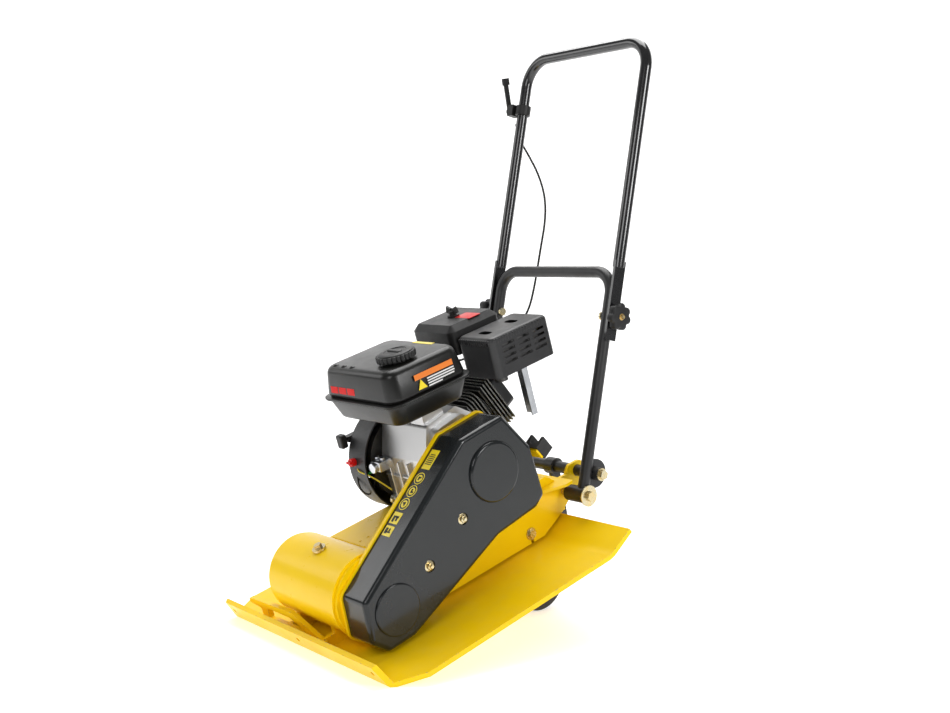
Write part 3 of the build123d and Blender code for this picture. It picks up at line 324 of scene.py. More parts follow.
class Paint(Enum):
    """Every finish on the machine."""

    YELLOW = Finish("yellow_enamel", (1.0, 0.665, 0.001), (0.97, 0.625, 0.001), (0.26, 0.38), mottle=7.0,
                    grain=420.0, grain_depth=0.00004, wear=(0.30, 0.25, 0.17), wear_width=0.0016,
                    wear_share=(0.60, 0.68), coat=0.10, coat_rough=0.10, specular=0.22, dust=0.03)
    YELLOW_SCUFFED = Finish("yellow_enamel_scuffed", (1.0, 0.665, 0.001), (0.96, 0.615, 0.001), (0.28, 0.46),
                            mottle=5.0, grain=420.0, grain_depth=0.00005, wear=(0.26, 0.22, 0.16),
                            wear_width=0.003, wear_share=(0.54, 0.62), coat=0.08, coat_rough=0.12,
                            specular=0.22, dust=0.06)
    GLOSS_BLACK = Finish("gloss_black_paint", (0.010, 0.010, 0.011), (0.014, 0.014, 0.015), (0.12, 0.22),
                         grain=500.0, grain_depth=0.00002, wear=(0.10, 0.10, 0.10), wear_share=(0.66, 0.72),
                         coat=0.6, coat_rough=0.06, dust=0.05)
    SATIN_BLACK = Finish("satin_black_paint", (0.013, 0.013, 0.014), (0.020, 0.020, 0.021), (0.34, 0.46),
                         grain=700.0, grain_depth=0.00003, wear=(0.12, 0.12, 0.12), wear_share=(0.64, 0.72),
                         dust=0.10)
    TANK_BLACK = Finish("tank_black", (0.006, 0.006, 0.0055), (0.009, 0.009, 0.008), (0.28, 0.36),
                        mottle=6.0, grain=620.0, grain_depth=0.00003, coat=0.10, coat_rough=0.15,
                        specular=0.35, dust=0.02)
    FIN_BLACK = Finish("fin_black", (0.010, 0.010, 0.010), (0.018, 0.018, 0.018), (0.38, 0.55), grain=800.0,
                       grain_depth=0.00006, wear=(0.60, 0.60, 0.56), wear_width=0.0016,
                       wear_share=(0.30, 0.44), specular=0.35, dust=0.04)
    BLACK_MOULDING = Finish("grained_black_moulding", (0.009, 0.009, 0.009), (0.013, 0.013, 0.013),
                            (0.40, 0.52), grain=1300.0, grain_depth=0.00008, specular=0.42, dust=0.05)
    CHARCOAL = Finish("glossy_charcoal_moulding", (0.010, 0.012, 0.013), (0.014, 0.016, 0.017),
                      (0.16, 0.24), mottle=5.0, grain=380.0, grain_depth=0.00002, coat=0.30, coat_rough=0.06,
                      specular=0.30, dust=0.02)
    RED = Finish("red_moulding", (0.70, 0.006, 0.006), (0.60, 0.005, 0.005), (0.3, 0.4), specular=0.3)
    YELLOW_MOULDING = Finish("yellow_moulding", (0.85, 0.55, 0.02), (0.78, 0.48, 0.02), (0.3, 0.4))
    CAST_ALUMINIUM = Finish("cast_aluminium", (0.36, 0.35, 0.31), (0.24, 0.23, 0.20), (0.38, 0.58),
                            metallic=0.9, mottle=22.0, grain=620.0, grain_depth=0.00025, dust=0.12)
    MACHINED = Finish("machined_steel", (0.60, 0.59, 0.57), (0.48, 0.47, 0.45), (0.18, 0.34), metallic=1.0,
                      mottle=40.0, grain=1400.0, grain_depth=0.00002, stretch=(1.0, 8.0, 8.0))
    IRON = Finish("grey_iron", (0.13, 0.13, 0.13), (0.09, 0.088, 0.085), (0.45, 0.62), metallic=0.8,
                  mottle=24.0, grain=700.0, grain_depth=0.00012)
    ZINC = Finish("yellow_zinc", (0.72, 0.56, 0.27), (0.62, 0.58, 0.42), (0.2, 0.36), metallic=1.0,
                  mottle=60.0, grain=1200.0, grain_depth=0.00002)
    GALVANISED = Finish("bright_zinc", (0.70, 0.72, 0.75), (0.56, 0.58, 0.61), (0.24, 0.4), metallic=1.0,
                        mottle=48.0, grain=900.0, grain_depth=0.00003)
    BRASS = Finish("brass", (0.78, 0.55, 0.22), (0.66, 0.45, 0.17), (0.22, 0.36), metallic=1.0, mottle=50.0,
                   grain=1200.0, grain_depth=0.00002)
    RUBBER = Finish("moulded_rubber", (0.012, 0.012, 0.012), (0.020, 0.020, 0.020), (0.55, 0.72),
                    grain=900.0, grain_depth=0.00008, dust=0.16)
    TYRE = Finish("tyre_rubber", (0.014, 0.014, 0.014), (0.024, 0.023, 0.022), (0.6, 0.78), mottle=14.0,
                  grain=620.0, grain_depth=0.00015, dust=0.25, wear=(0.06, 0.056, 0.05),
                  wear_share=(0.4, 0.6))
    SHEATH = Finish("cable_sheath", (0.012, 0.012, 0.013), (0.018, 0.018, 0.018), (0.4, 0.5), grain=1500.0,
                    grain_depth=0.00003)
    WIRE_GREEN = Finish("green_wire", (0.03, 0.32, 0.08), (0.02, 0.25, 0.06), (0.35, 0.45))
    WIRE_YELLOW = Finish("yellow_wire", (0.80, 0.66, 0.05), (0.70, 0.56, 0.04), (0.35, 0.45))
    LABEL_ORANGE = Finish("orange_label", (0.85, 0.22, 0.02), (0.80, 0.20, 0.02), (0.3, 0.38), coat=0.3)
    LABEL_WHITE_PLAIN = Finish("white_label", (0.80, 0.80, 0.78), (0.76, 0.76, 0.74), (0.3, 0.38))
    LABEL_YELLOW_PLAIN = Finish("yellow_label", (0.92, 0.72, 0.02), (0.88, 0.68, 0.02), (0.3, 0.38), coat=0.3)
    LABEL_RED = Finish("red_label", (0.72, 0.006, 0.004), (0.66, 0.006, 0.004), (0.4, 0.5), specular=0.2)
    FLOOR = Finish("studio_floor", (0.86, 0.86, 0.86), (0.85, 0.85, 0.85), (0.6, 0.7), grain=200.0,
                   grain_depth=0.00001)

    def get(self) -> bpy.types.Material:
        """Return the material, built once."""
        return bpy.data.materials.get(self.value.name) or self.value.material()


def paint(piece: bpy.types.Object, finish: Paint) -> None:
    """Give an object one finish in every material slot.

    Args:
        piece: the object.
        finish: its surface finish.
    """
    material = finish.get()
    if not piece.data.materials:
        piece.data.materials.append(material)
    for index in range(len(piece.data.materials)):
        piece.data.materials[index] = material


# ---- the workshop: how a new piece is made ------------------------------------------------
def add_object(name: str, data: bpy.types.ID) -> bpy.types.Object:
    """Make an object and link it to the scene.

    Args:
        name: name of the object.
        data: its mesh, curve, light or camera.

    Returns:
        The new object.
    """
    made = bpy.data.objects.new(name, data)
    bpy.context.scene.collection.objects.link(made)
    return made


def shade_smooth(mesh: bpy.types.Mesh) -> None:
    """Shade every face of a mesh smooth."""
    for polygon in mesh.polygons:
        polygon.use_smooth = True


def sweep(name: str, points: tuple[Place, ...], radius: float, order: int, steps: int,
          sides: int) -> bpy.types.Object:
    """Sweep a round section along a smooth route.

    Args:
        name: name of the swept object.
        points: control points of the route, in the machine's frame.
        radius: radius of the section, in millimetres.
        order: order of the curve.
        steps: segments from one control point to the next.
        sides: roundness of the section.

    Returns:
        The swept object, as a mesh.
    """
    curve = bpy.data.curves.new(name, "CURVE")
    curve.dimensions = "3D"
    curve.bevel_depth = radius * MM
    curve.bevel_resolution = sides
    curve.use_fill_caps = True
    spline = curve.splines.new("NURBS")
    spline.points.add(len(points) - 1)
    for point, place in zip(spline.points, points):
        point.co = (*(MACHINE.to_row @ Vector(place)), 1.0)
    spline.order_u = order
    spline.use_endpoint_u = True
    spline.resolution_u = steps
    route = add_object("route", curve)
    mesh = bpy.data.meshes.new_from_object(route)
    bpy.data.objects.remove(route)
    shade_smooth(mesh)
    return add_object(name, mesh)


def round_edges(part: bmesh.types.BMesh, edges: list[bmesh.types.BMEdge], size: float, steps: int,
                clamp: bool = False) -> None:
    """Round a set of edges.

    Args:
        part: the mesh that they belong to.
        edges: the edges.
        size: width of the rounding.
        steps: segments of the rounding.
        clamp: whether the rounding stops where it meets another.
    """
    bmesh.ops.bevel(part, geom=edges, offset=size, segments=steps, affect="EDGES", profile=0.5,
                    material=-1, clamp_overlap=clamp)


def boss(radius: float, height: float) -> Profile:
    """Return the profile of a round boss with a chamfered rim."""
    return [(0.0, 0.0), (0.0, radius), (height - 1.0, radius), (height, radius - 1.0), (height, 0.0)]


class Piece:
    """One new mesh, modelled in the machine's frame in millimetres."""

    def __init__(self, name: str) -> None:
        """Start an empty mesh."""
        self.name = name
        self.bm = bmesh.new()

    def block(self, low: Place, high: Place, edge: float = 0.0, corner: float = 0.0,
              turn: Matrix | None = None, steps: int = 3, taper: float = 1.0) -> None:
        """Add a box between two corners.

        Args:
            low: lowest corner.
            high: highest corner.
            edge: rounding of every edge after the corners are rounded.
            corner: rounding of the four upright edges.
            turn: rotation about the box's middle.
            steps: segments of each rounding.
            taper: size of the top as a share of the bottom.
        """
        part = bmesh.new()
        bmesh.ops.create_cube(part, size=1.0)
        size, middle = Vector(high) - Vector(low), (Vector(high) + Vector(low)) / 2
        bmesh.ops.scale(part, vec=size, verts=part.verts)
        if corner:
            upright = [e for e in part.edges if abs(e.verts[0].co.z - e.verts[1].co.z) > size.z / 2]
            round_edges(part, upright, corner, 6)
        if taper != 1.0:
            top = [v for v in part.verts if v.co.z > 0]
            bmesh.ops.scale(part, vec=(taper, taper, 1.0), verts=top)
        if edge:
            sharp = [e for e in part.edges if e.calc_face_angle(0.0) > math.radians(32)]
            round_edges(part, sharp, edge, steps, clamp=True)
        self.merge(part, Matrix.Translation(middle) @ (turn or Matrix.Identity(4)))

    def panel(self, size: Place, matrix: Matrix) -> None:
        """Add a thin panel.

        Args:
            size: its width, length and thickness.
            matrix: its place, from its own middle.
        """
        part = bmesh.new()
        bmesh.ops.create_cube(part, size=1.0)
        bmesh.ops.scale(part, vec=size, verts=part.verts)
        self.merge(part, matrix)

    def merge(self, part: bmesh.types.BMesh, matrix: Matrix) -> None:
        """Put another mesh in its place, add it to this one and free it.

        Args:
            part: the mesh to add.
            matrix: its place.
        """
        bmesh.ops.transform(part, matrix=matrix, verts=part.verts)
        mesh = bpy.data.meshes.new("part")
        part.to_mesh(mesh)
        part.free()
        self.bm.from_mesh(mesh)
        bpy.data.meshes.remove(mesh)

    def spun(self, profile: Profile, place: Place, axis: Axis = Axis.X,
             steps: int = 48, turn: Matrix | None = None) -> None:
        """Spin a profile about an axis.

        Args:
            profile: points as (along the axis, radius), from one end to the other.
            place: point on the axis where the profile's zero lies.
            axis: the axis it is spun about.
            steps: steps of the full turn.
            turn: a further rotation about the place.
        """
        part = bmesh.new()
        line = [part.verts.new((radius, 0.0, along)) for along, radius in profile]
        edges = [part.edges.new(pair) for pair in zip(line, line[1:])]
        bmesh.ops.spin(part, geom=line + edges, cent=(0, 0, 0), axis=(0, 0, 1), dvec=(0, 0, 0),
                       angle=2 * math.pi, steps=steps, use_merge=True, use_duplicate=False)
        bmesh.ops.remove_doubles(part, verts=part.verts, dist=0.001)
        bmesh.ops.recalc_face_normals(part, faces=part.faces)
        self.merge(part, Matrix.Translation(place) @ (turn or Matrix.Identity(4)) @ axis.turn())

    def hexagon(self, place: Place, flats: float, height: float, axis: Axis = Axis.X,
                side: float = 1.0) -> None:
        """Add a hexagon head, its outer edge rounded.

        Args:
            place: middle of the face that it stands on.
            flats: width across flats.
            height: height of the head.
            axis: the axis it stands along.
            side: -1 to stand the other way along the axis.
        """
        part = bmesh.new()
        bmesh.ops.create_cone(part, cap_ends=True, cap_tris=False, segments=6,
                              radius1=flats / math.sqrt(3), radius2=flats / math.sqrt(3), depth=height)
        bmesh.ops.translate(part, vec=(0, 0, side * height / 2), verts=part.verts)
        round_edges(part, list(part.edges), flats * 0.06, 2)
        self.merge(part, Matrix.Translation(place) @ axis.turn())

    def done(self, body: str, finish: Paint, slot: str, *replaces: str,
             smooth: float = 35.0) -> bpy.types.Object:
        """Turn the mesh into an object that rides on a body.

        Args:
            body: name of the CAD body.
            finish: surface finish.
            slot: material slot of the record; not used.
            replaces: CAD nodes that the piece stands for.
            smooth: largest angle between faces that is shaded smooth, in degrees.

        Returns:
            The finished object.
        """
        bmesh.ops.transform(self.bm, matrix=MACHINE.to_row, verts=self.bm.verts)
        for edge in self.bm.edges:
            edge.smooth = edge.calc_face_angle(0.0) < math.radians(smooth)
        for face in self.bm.faces:
            face.smooth = True
        mesh = bpy.data.meshes.new(self.name)
        self.bm.to_mesh(mesh)
        self.bm.free()
        piece = add_object(self.name, mesh)
        paint(piece, finish)
        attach(piece, body)
        if replaces:
            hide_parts(*replaces)
        LOG.info("%s: %d faces on %s", self.name, len(mesh.polygons), body)
        return piece

    def lobed(self, place: Place, radius: float, depth: float, lobes: int, height: float,
              axis: Axis, edge: float, power: float = 0.8, side: float = 1.0) -> None:
        """Add a lobed disc, such as a star knob or a ribbed cap.

        Args:
            place: middle of its lower face.
            radius: radius in the valleys.
            depth: how far the lobes stand out.
            lobes: number of lobes.
            height: height along the axis.
            axis: the axis it stands along.
            edge: rounding of its rim.
            power: under 1 the lobes are broad, over 1 they are narrow.
            side: -1 to stand the other way along the axis.
        """
        part = bmesh.new()
        circle = bmesh.ops.create_circle(part, cap_ends=True, segments=lobes * 10, radius=1.0)["verts"]
        for vert in circle:
            angle = math.atan2(vert.co.y, vert.co.x)
            reach = radius + depth * abs(math.cos(lobes * angle / 2)) ** power
            vert.co *= reach
        raised = bmesh.ops.extrude_face_region(part, geom=list(part.faces))["geom"]
        tops = [item for item in raised if isinstance(item, bmesh.types.BMVert)]
        bmesh.ops.translate(part, vec=(0, 0, side * height), verts=tops)
        bmesh.ops.recalc_face_normals(part, faces=part.faces)
        rims = [e for e in part.edges if e.calc_face_angle(0.0) > 1.2
                and abs(e.verts[0].co.z - e.verts[1].co.z) < 0.01]
        round_edges(part, rims, edge, 4)
        self.merge(part, Matrix.Translation(place) @ axis.turn())

    def bead(self, start: Place, end: Place, radius: float) -> None:
        """Add a weld bead of overlapping ripples.

        Args:
            start: middle of the first ripple.
            end: middle of the last one.
            radius: radius of a ripple.
        """
        run = Vector(end) - Vector(start)
        count = max(2, round(run.length / (radius * 0.9)))
        for index in range(count + 1):
            part = bmesh.new()
            bmesh.ops.create_icosphere(part, subdivisions=2, radius=radius)
            wander = 0.12 * radius * math.sin(index * 2.4)
            place = Vector(start) + run * (index / count) + Vector((wander, wander, -wander))
            swell = Matrix.Scale(1.0 + 0.10 * math.sin(index * 1.7), 4)
            self.merge(part, Matrix.Translation(place) @ swell)


# ---- what the CAD nodes wear --------------------------------------------------------------
@dataclass
class Dressing:
    """The finish of each CAD node that stays."""

    finishes: dict[Paint, tuple[str, ...]] = field(default_factory=lambda: {
        Paint.YELLOW: ("exciter_housing", "exciter_cover_left", "exciter_cover_right", "engine_deck",
                       "belt_guard_back"),
        Paint.YELLOW_SCUFFED: ("base_plate", "front_bracket"),
        Paint.GLOSS_BLACK: ("upper_handle",),
        Paint.SATIN_BLACK: ("lower_handle", "stop_bar", "stop_bar_tabs", "wheel_carrier", "fan_housing",
                            "muffler_shroud", "valve_cover"),
        Paint.FIN_BLACK: ("cylinder_barrel", "cylinder_head"),
        Paint.TANK_BLACK: ("fuel_tank_upper", "fuel_tank_lower"),
        Paint.BLACK_MOULDING: ("air_cleaner_base", "air_cleaner_cover", "recoil_cover", "recoil_grip",
                               "throttle_clamp", "throttle_lever", "fuel_cap", "choke_lever", "wing_nut",
                               "knob_right", "knob_left"),
        Paint.CHARCOAL: ("belt_cover",),
        Paint.RED: ("engine_switch",),
        Paint.YELLOW_MOULDING: ("oil_dipstick",),
        Paint.CAST_ALUMINIUM: ("crankcase", "side_cover", "carburettor"),
        Paint.MACHINED: ("crankshaft", "exciter_shaft", "exciter_bearings"),
        Paint.IRON: ("clutch_hub", "clutch_pulley", "exciter_pulley", "eccentric_weight", "flywheel",
                     "muffler"),
        Paint.ZINC: ("mount_bolts", "handle_bolts", "knob_bolts", "engine_bolts", "exciter_plug",
                     "throttle_arm"),
        Paint.GALVANISED: ("exhaust_bracket",),
        Paint.RUBBER: ("rubber_mounts", "handle_bumpers", "v_belt", "handle_rest"),
        Paint.TYRE: ("wheel_right", "wheel_left"),
        Paint.SHEATH: ("throttle_cable_upper", "throttle_cable_lower"),
    })

    def build(self) -> None:
        """Paint every CAD node."""
        for finish, nodes in self.finishes.items():
            for node in nodes:
                paint(frame["nodes"][node], finish)
        LOG.info("dressed %d nodes", sum(len(nodes) for nodes in self.finishes.values()))


# ---- wheels -------------------------------------------------------------------------------
@dataclass
class Wheels:
    """Two solid rubber wheels with a web and a hub."""

    bore: float = 8.0
    tread_depth: float = 1.6
    tread_step: float = 6.0
    groove_top: float = 1.3
    groove_foot: float = 0.7
    hub_radius: float = 20.0
    rim_radius: float = 46.0
    web: float = 9.0

    def tyre_profile(self, half: float, radius: float) -> Profile:
        """Work out half of the section: hub, web, rim and crowned tread with grooves.

        Args:
            half: half the width of the wheel.
            radius: radius of the tread.

        Returns:
            Points as (along the axle, radius), from the bore to the middle of the tread.
        """
        bore, top, foot = self.bore, self.groove_top, self.groove_foot
        side = [(0.0, bore), (half - 1.5, bore), (half, bore + 1.5), (half, self.hub_radius - 1.5),
                (half - 1.5, self.hub_radius), (self.web, self.hub_radius + 4),
                (self.web, self.rim_radius - 5), (half - 3, self.rim_radius), (half, self.rim_radius + 3),
                (half, radius - 9), (half - 2.2, radius - 4), (half - 6, radius - 0.9)]
        groove = self.tread_step
        while groove > 0:
            side += [(groove + top, radius), (groove + foot, radius - self.tread_depth),
                     (groove - foot, radius - self.tread_depth), (groove - top, radius)]
            groove -= self.tread_step
        return side

    def build(self) -> None:
        """Build both wheels."""
        for name in ("right", "left"):
            node = f"wheel_{name}"
            low, high = MACHINE.box(node)
            place = (low + high) / 2
            half, radius = (high.x - low.x) / 2, (high.z - low.z) / 2
            side = self.tyre_profile(half, radius)
            profile = [(-along, reach) for along, reach in side] + side[::-1]
            piece = Piece(f"tyre_{name}")
            piece.spun(profile, place, Axis.X, 64)
            piece.done(node, Paint.TYRE, "tyre", node)


# ---- handle -------------------------------------------------------------------------------
@dataclass
class StarKnobs:
    """Lobed clamping knobs with a brass insert."""

    lobes: int = 7
    valley: float = 22.0
    lobe: float = 7.3
    rim: float = 3.6
    neck: float = 7.0
    insert: float = 7.0

    def build(self) -> None:
        """Build the right and the left knob."""
        for name, side in (("right", 1.0), ("left", -1.0)):
            node = f"knob_{name}"
            low, high = MACHINE.box(node)
            centre = MACHINE.joint(f"{node}_turn")
            inner, outer = (low.x, high.x) if side > 0 else (high.x, low.x)
            piece = Piece(f"star_knob_{name}")
            seat = (inner + side * self.neck, centre.y, centre.z)
            piece.lobed(seat, self.valley, self.lobe, self.lobes, abs(outer - inner) - self.neck, Axis.X,
                        self.rim, power=0.75, side=side)
            neck = [(0.0, 9.0), (0.0, 12.5), (5.0, 12.5), (7.6, 15.0), (7.6, 9.0)]
            piece.spun([(side * along, radius) for along, radius in neck], (inner, centre.y, centre.z))
            piece.done(node, Paint.BLACK_MOULDING, "black_plastic", node)
            face = (outer, centre.y, centre.z)
            brass = Piece(f"knob_insert_{name}")
            ring = [(-3.0, 4.1), (0.5, 4.1), (1.0, 4.8), (1.0, self.insert - 0.8), (0.4, self.insert),
                    (-3.0, self.insert)]
            brass.spun([(side * along, radius) for along, radius in ring], face)
            brass.done(node, Paint.BRASS, "black_plastic")


@dataclass
class Cable:
    """A stretch of the throttle cable between two bodies, swept as one fixed mesh."""

    name: str
    points: tuple[Place, ...]
    bodies: tuple[str, str]
    radius: float = 2.5

    def build(self) -> None:
        """Sweep the sheath, which stands for the CAD node of the same stretch."""
        piece = sweep(self.name, self.points, self.radius, order=3, steps=16, sides=5)
        paint(piece, Paint.SHEATH)
        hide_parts(self.name.replace("sheath", "cable"))
        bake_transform(piece)
        LOG.info("%s: %d faces between %s and %s", self.name, len(piece.data.polygons), *self.bodies)


CABLES = (
    Cable("throttle_sheath_upper",
          ((-222.0, 1022.0, 815.0), (-216.0, 1014.0, 782.0), (-190.0, 1010.0, 742.0),
           (-158.0, 1000.0, 694.0), (-130.0, 980.0, 642.0), (-116.0, 950.0, 590.0),
           (-110.0, 914.0, 540.0), (-106.0, 882.0, 490.0)), ("upper_handle", "lower_handle")),
    Cable("throttle_sheath_lower",
          ((-105.9, 881.6, 489.4), (-105.6, 856.0, 446.0), (-106.0, 826.0, 408.0),
           (-107.0, 780.0, 382.0), (-108.0, 728.0, 370.0), (-108.0, 676.0, 366.0), (-105.0, 630.0, 370.0),
           (-94.0, 590.0, 378.0)), ("lower_handle", "root")),
)


# ---- fuel tank ----------------------------------------------------------------------------
@dataclass
class FuelTank:
    """Pressed tank in two halves with a folded seam, and its ribbed cap."""

    inset: float = 7.0
    corner: float = 30.0
    top_edge: float = 13.0
    top_taper: float = 0.905
    bottom_edge: float = 9.0
    bottom_taper: float = 0.86
    seam: float = 2.6
    seam_corner: float = 34.0
    neck_bore: float = 24.0
    neck_radius: float = 27.0
    cap_radius: float = 37.5
    cap_ribs: int = 26
    rib_depth: float = 3.0
    grip: tuple[float, float] = (21.0, 5.0)

    def build(self) -> None:
        """Build both halves and the cap."""
        low, high = MACHINE.box("fuel_tank_upper")
        bottom = MACHINE.box("fuel_tank_lower")[0].z
        cap = MACHINE.joint("fuel_cap_turn")
        top, inset = cap.z, self.inset
        upper = Piece("tank_upper_half")
        upper.block((low.x + inset, low.y + inset, low.z),
                    (high.x - inset, high.y - inset, top), self.top_edge, self.corner, steps=6,
                    taper=self.top_taper)
        upper.block((low.x, low.y, low.z), (high.x, high.y, low.z + self.seam), 1.1, self.seam_corner)
        bore, reach = self.neck_bore, self.neck_radius
        neck = [(0.0, bore), (0.0, reach), (7.0, reach), (7.6, reach - 0.6), (7.6, bore)]
        upper.spun(neck, (cap.x, cap.y, top - 0.5), Axis.Z)
        upper.spun([(0.0, reach + 6.0), (1.2, reach + 4.8), (1.2, reach)], (cap.x, cap.y, top), Axis.Z)
        upper.done("root", Paint.TANK_BLACK, "satin_black", "fuel_tank_upper")
        lower = Piece("tank_lower_half")
        lower.block((low.x + inset, low.y + inset, bottom),
                    (high.x - inset, high.y - inset, low.z), self.bottom_edge, self.corner, HALF_TURN,
                    steps=5, taper=self.bottom_taper)
        lower.block((low.x + 1, low.y + 1, low.z - self.seam),
                    (high.x - 1, high.y - 1, low.z), 1.0, self.seam_corner - 1.0)
        lower.done("root", Paint.TANK_BLACK, "satin_black", "fuel_tank_lower")
        self.build_cap(cap)

    def build_cap(self, cap: Vector) -> None:
        """Build the ribbed cap with its grip bar.

        Args:
            cap: middle of the cap's seat on the tank.
        """
        low, high = MACHINE.box("fuel_cap")
        piece = Piece("ribbed_fuel_cap")
        piece.lobed((cap.x, cap.y, low.z + 1.0), self.cap_radius, self.rib_depth, self.cap_ribs,
                    high.z - low.z - 6.0, Axis.Z, 1.6, power=0.6)
        dome = [(0.0, 36.0), (2.2, 35.0), (3.8, 31.0), (4.0, 24.0), (2.6, 22.5), (2.6, 0.0)]
        piece.spun(dome, (cap.x, cap.y, high.z - 5.2), Axis.Z, 64)
        along, across = self.grip
        piece.block((cap.x - along, cap.y - across, high.z - 4),
                    (cap.x + along, cap.y + across, high.z), 1.8, 4.0)
        piece.done("fuel_cap", Paint.BLACK_MOULDING, "black_plastic", "fuel_cap")


# ---- what the CAD leaves out --------------------------------------------------------------
@dataclass
class CoverDetails:
    """Stickers on the belt cover's sloping front wall, and washers under its two bolts."""

    wall_start: Vector = field(default_factory=lambda: Vector((0.0, 40.0, 130.0)))
    wall_end: Vector = field(default_factory=lambda: Vector((0.0, 339.0, 330.0)))
    bolts: tuple[tuple[float, float], ...] = ((297.0, 182.0), (197.0, 130.0))
    washer: float = 1.8
    face_x: float = 202.0
    inner_x: float = 139.0
    outer_x: float = 167.0
    thickness: float = 0.5

    def frame_at(self, share: float) -> Matrix:
        """Work out a frame on the wall, x across, y up the slope and z outward.

        Args:
            share: how far up the wall it lies, from 0 to 1.

        Returns:
            The frame's matrix.
        """
        run = self.wall_end - self.wall_start
        up = run.normalized()
        out = Vector((1.0, 0.0, 0.0)).cross(up)
        place = self.wall_start + run * share
        place.x = (self.inner_x + self.outer_x) / 2
        axes = Matrix(((1.0, 0.0, 0.0), up, out)).transposed().to_4x4()
        return Matrix.Translation(place) @ axes

    def plate(self, piece: Piece, share: float, width: float, length: float, across: float = 0.0,
              lift: float = 0.0) -> None:
        """Add a thin square sticker on the wall.

        Args:
            piece: the piece that it joins.
            share: how far up the wall it lies.
            width: its width.
            length: its length up the slope.
            across: how far it lies from the wall's middle line.
            lift: how far it lies above the wall.
        """
        place = self.frame_at(share) @ Matrix.Translation((across, 0, self.thickness / 2 + lift))
        piece.panel((width, length, self.thickness), place)

    def disc(self, piece: Piece, share: float, radius: float, hole: float) -> None:
        """Add a thin ring or disc on the wall.

        Args:
            piece: the piece that it joins.
            share: how far up the wall it lies.
            radius: its radius.
            hole: radius of its hole.
        """
        profile = [(0.0, hole), (0.0, radius), (self.thickness, radius), (self.thickness, hole)]
        turn = self.frame_at(share)
        piece.spun(profile + profile[:1], tuple(turn.translation), Axis.Z, 40, turn.to_3x3().to_4x4())

    def build(self) -> None:
        """Build the stickers and the washers."""
        ground = Piece("pictogram_plates")
        for share, length in ((0.405, 22.0), (0.485, 25.0), (0.852, 44.0)):
            self.plate(ground, share, 25.0, length)
        for share in (0.572, 0.652, 0.732):
            self.disc(ground, share, 13.2, 11.6)
            self.disc(ground, share, 8.0, 0.0)
        ground.done("root", Paint.LABEL_YELLOW_PLAIN, "yellow_plastic")
        marks = Piece("pictogram_marks")
        for share, across, width, length in (
                (0.405, -6.0, 7.0, 12.0), (0.398, 3.0, 9.0, 3.0), (0.412, 3.0, 4.0, 7.0),
                (0.478, -5.0, 6.0, 13.0), (0.492, 3.0, 10.0, 4.0), (0.480, 4.0, 5.0, 9.0),
                (0.572, 1.0, 4.0, 8.0), (0.576, -2.0, 6.0, 3.0),
                (0.652, 0.0, 4.0, 9.0), (0.646, 2.0, 7.0, 3.0),
                (0.732, -1.0, 4.0, 8.0), (0.737, 1.0, 8.0, 3.0),
                (0.822, 0.0, 19.0, 1.6), (0.834, 0.0, 19.0, 1.6), (0.846, 0.0, 19.0, 1.6),
                (0.858, 0.0, 19.0, 1.6), (0.870, 0.0, 19.0, 1.6), (0.882, 0.0, 14.0, 1.6)):
            self.plate(marks, share, width, length, across, self.thickness)
        marks.done("root", Paint.BLACK_MOULDING, "black_plastic")
        washers = Piece("cover_washers")
        for y, z in self.bolts:
            ring = [(0.0, 4.5), (0.0, 11.4), (1.4, 11.4), (self.washer, 10.8), (self.washer, 4.5)]
            washers.spun(ring, (self.face_x, y, z))
            washers.hexagon((self.face_x + self.washer, y, z), 13.0, 5.4)
            washers.spun([(5.0, 4.0), (11.0, 4.0), (11.8, 3.2), (11.8, 0.0)], (self.face_x, y, z))
        washers.done("root", Paint.ZINC, "zinc")


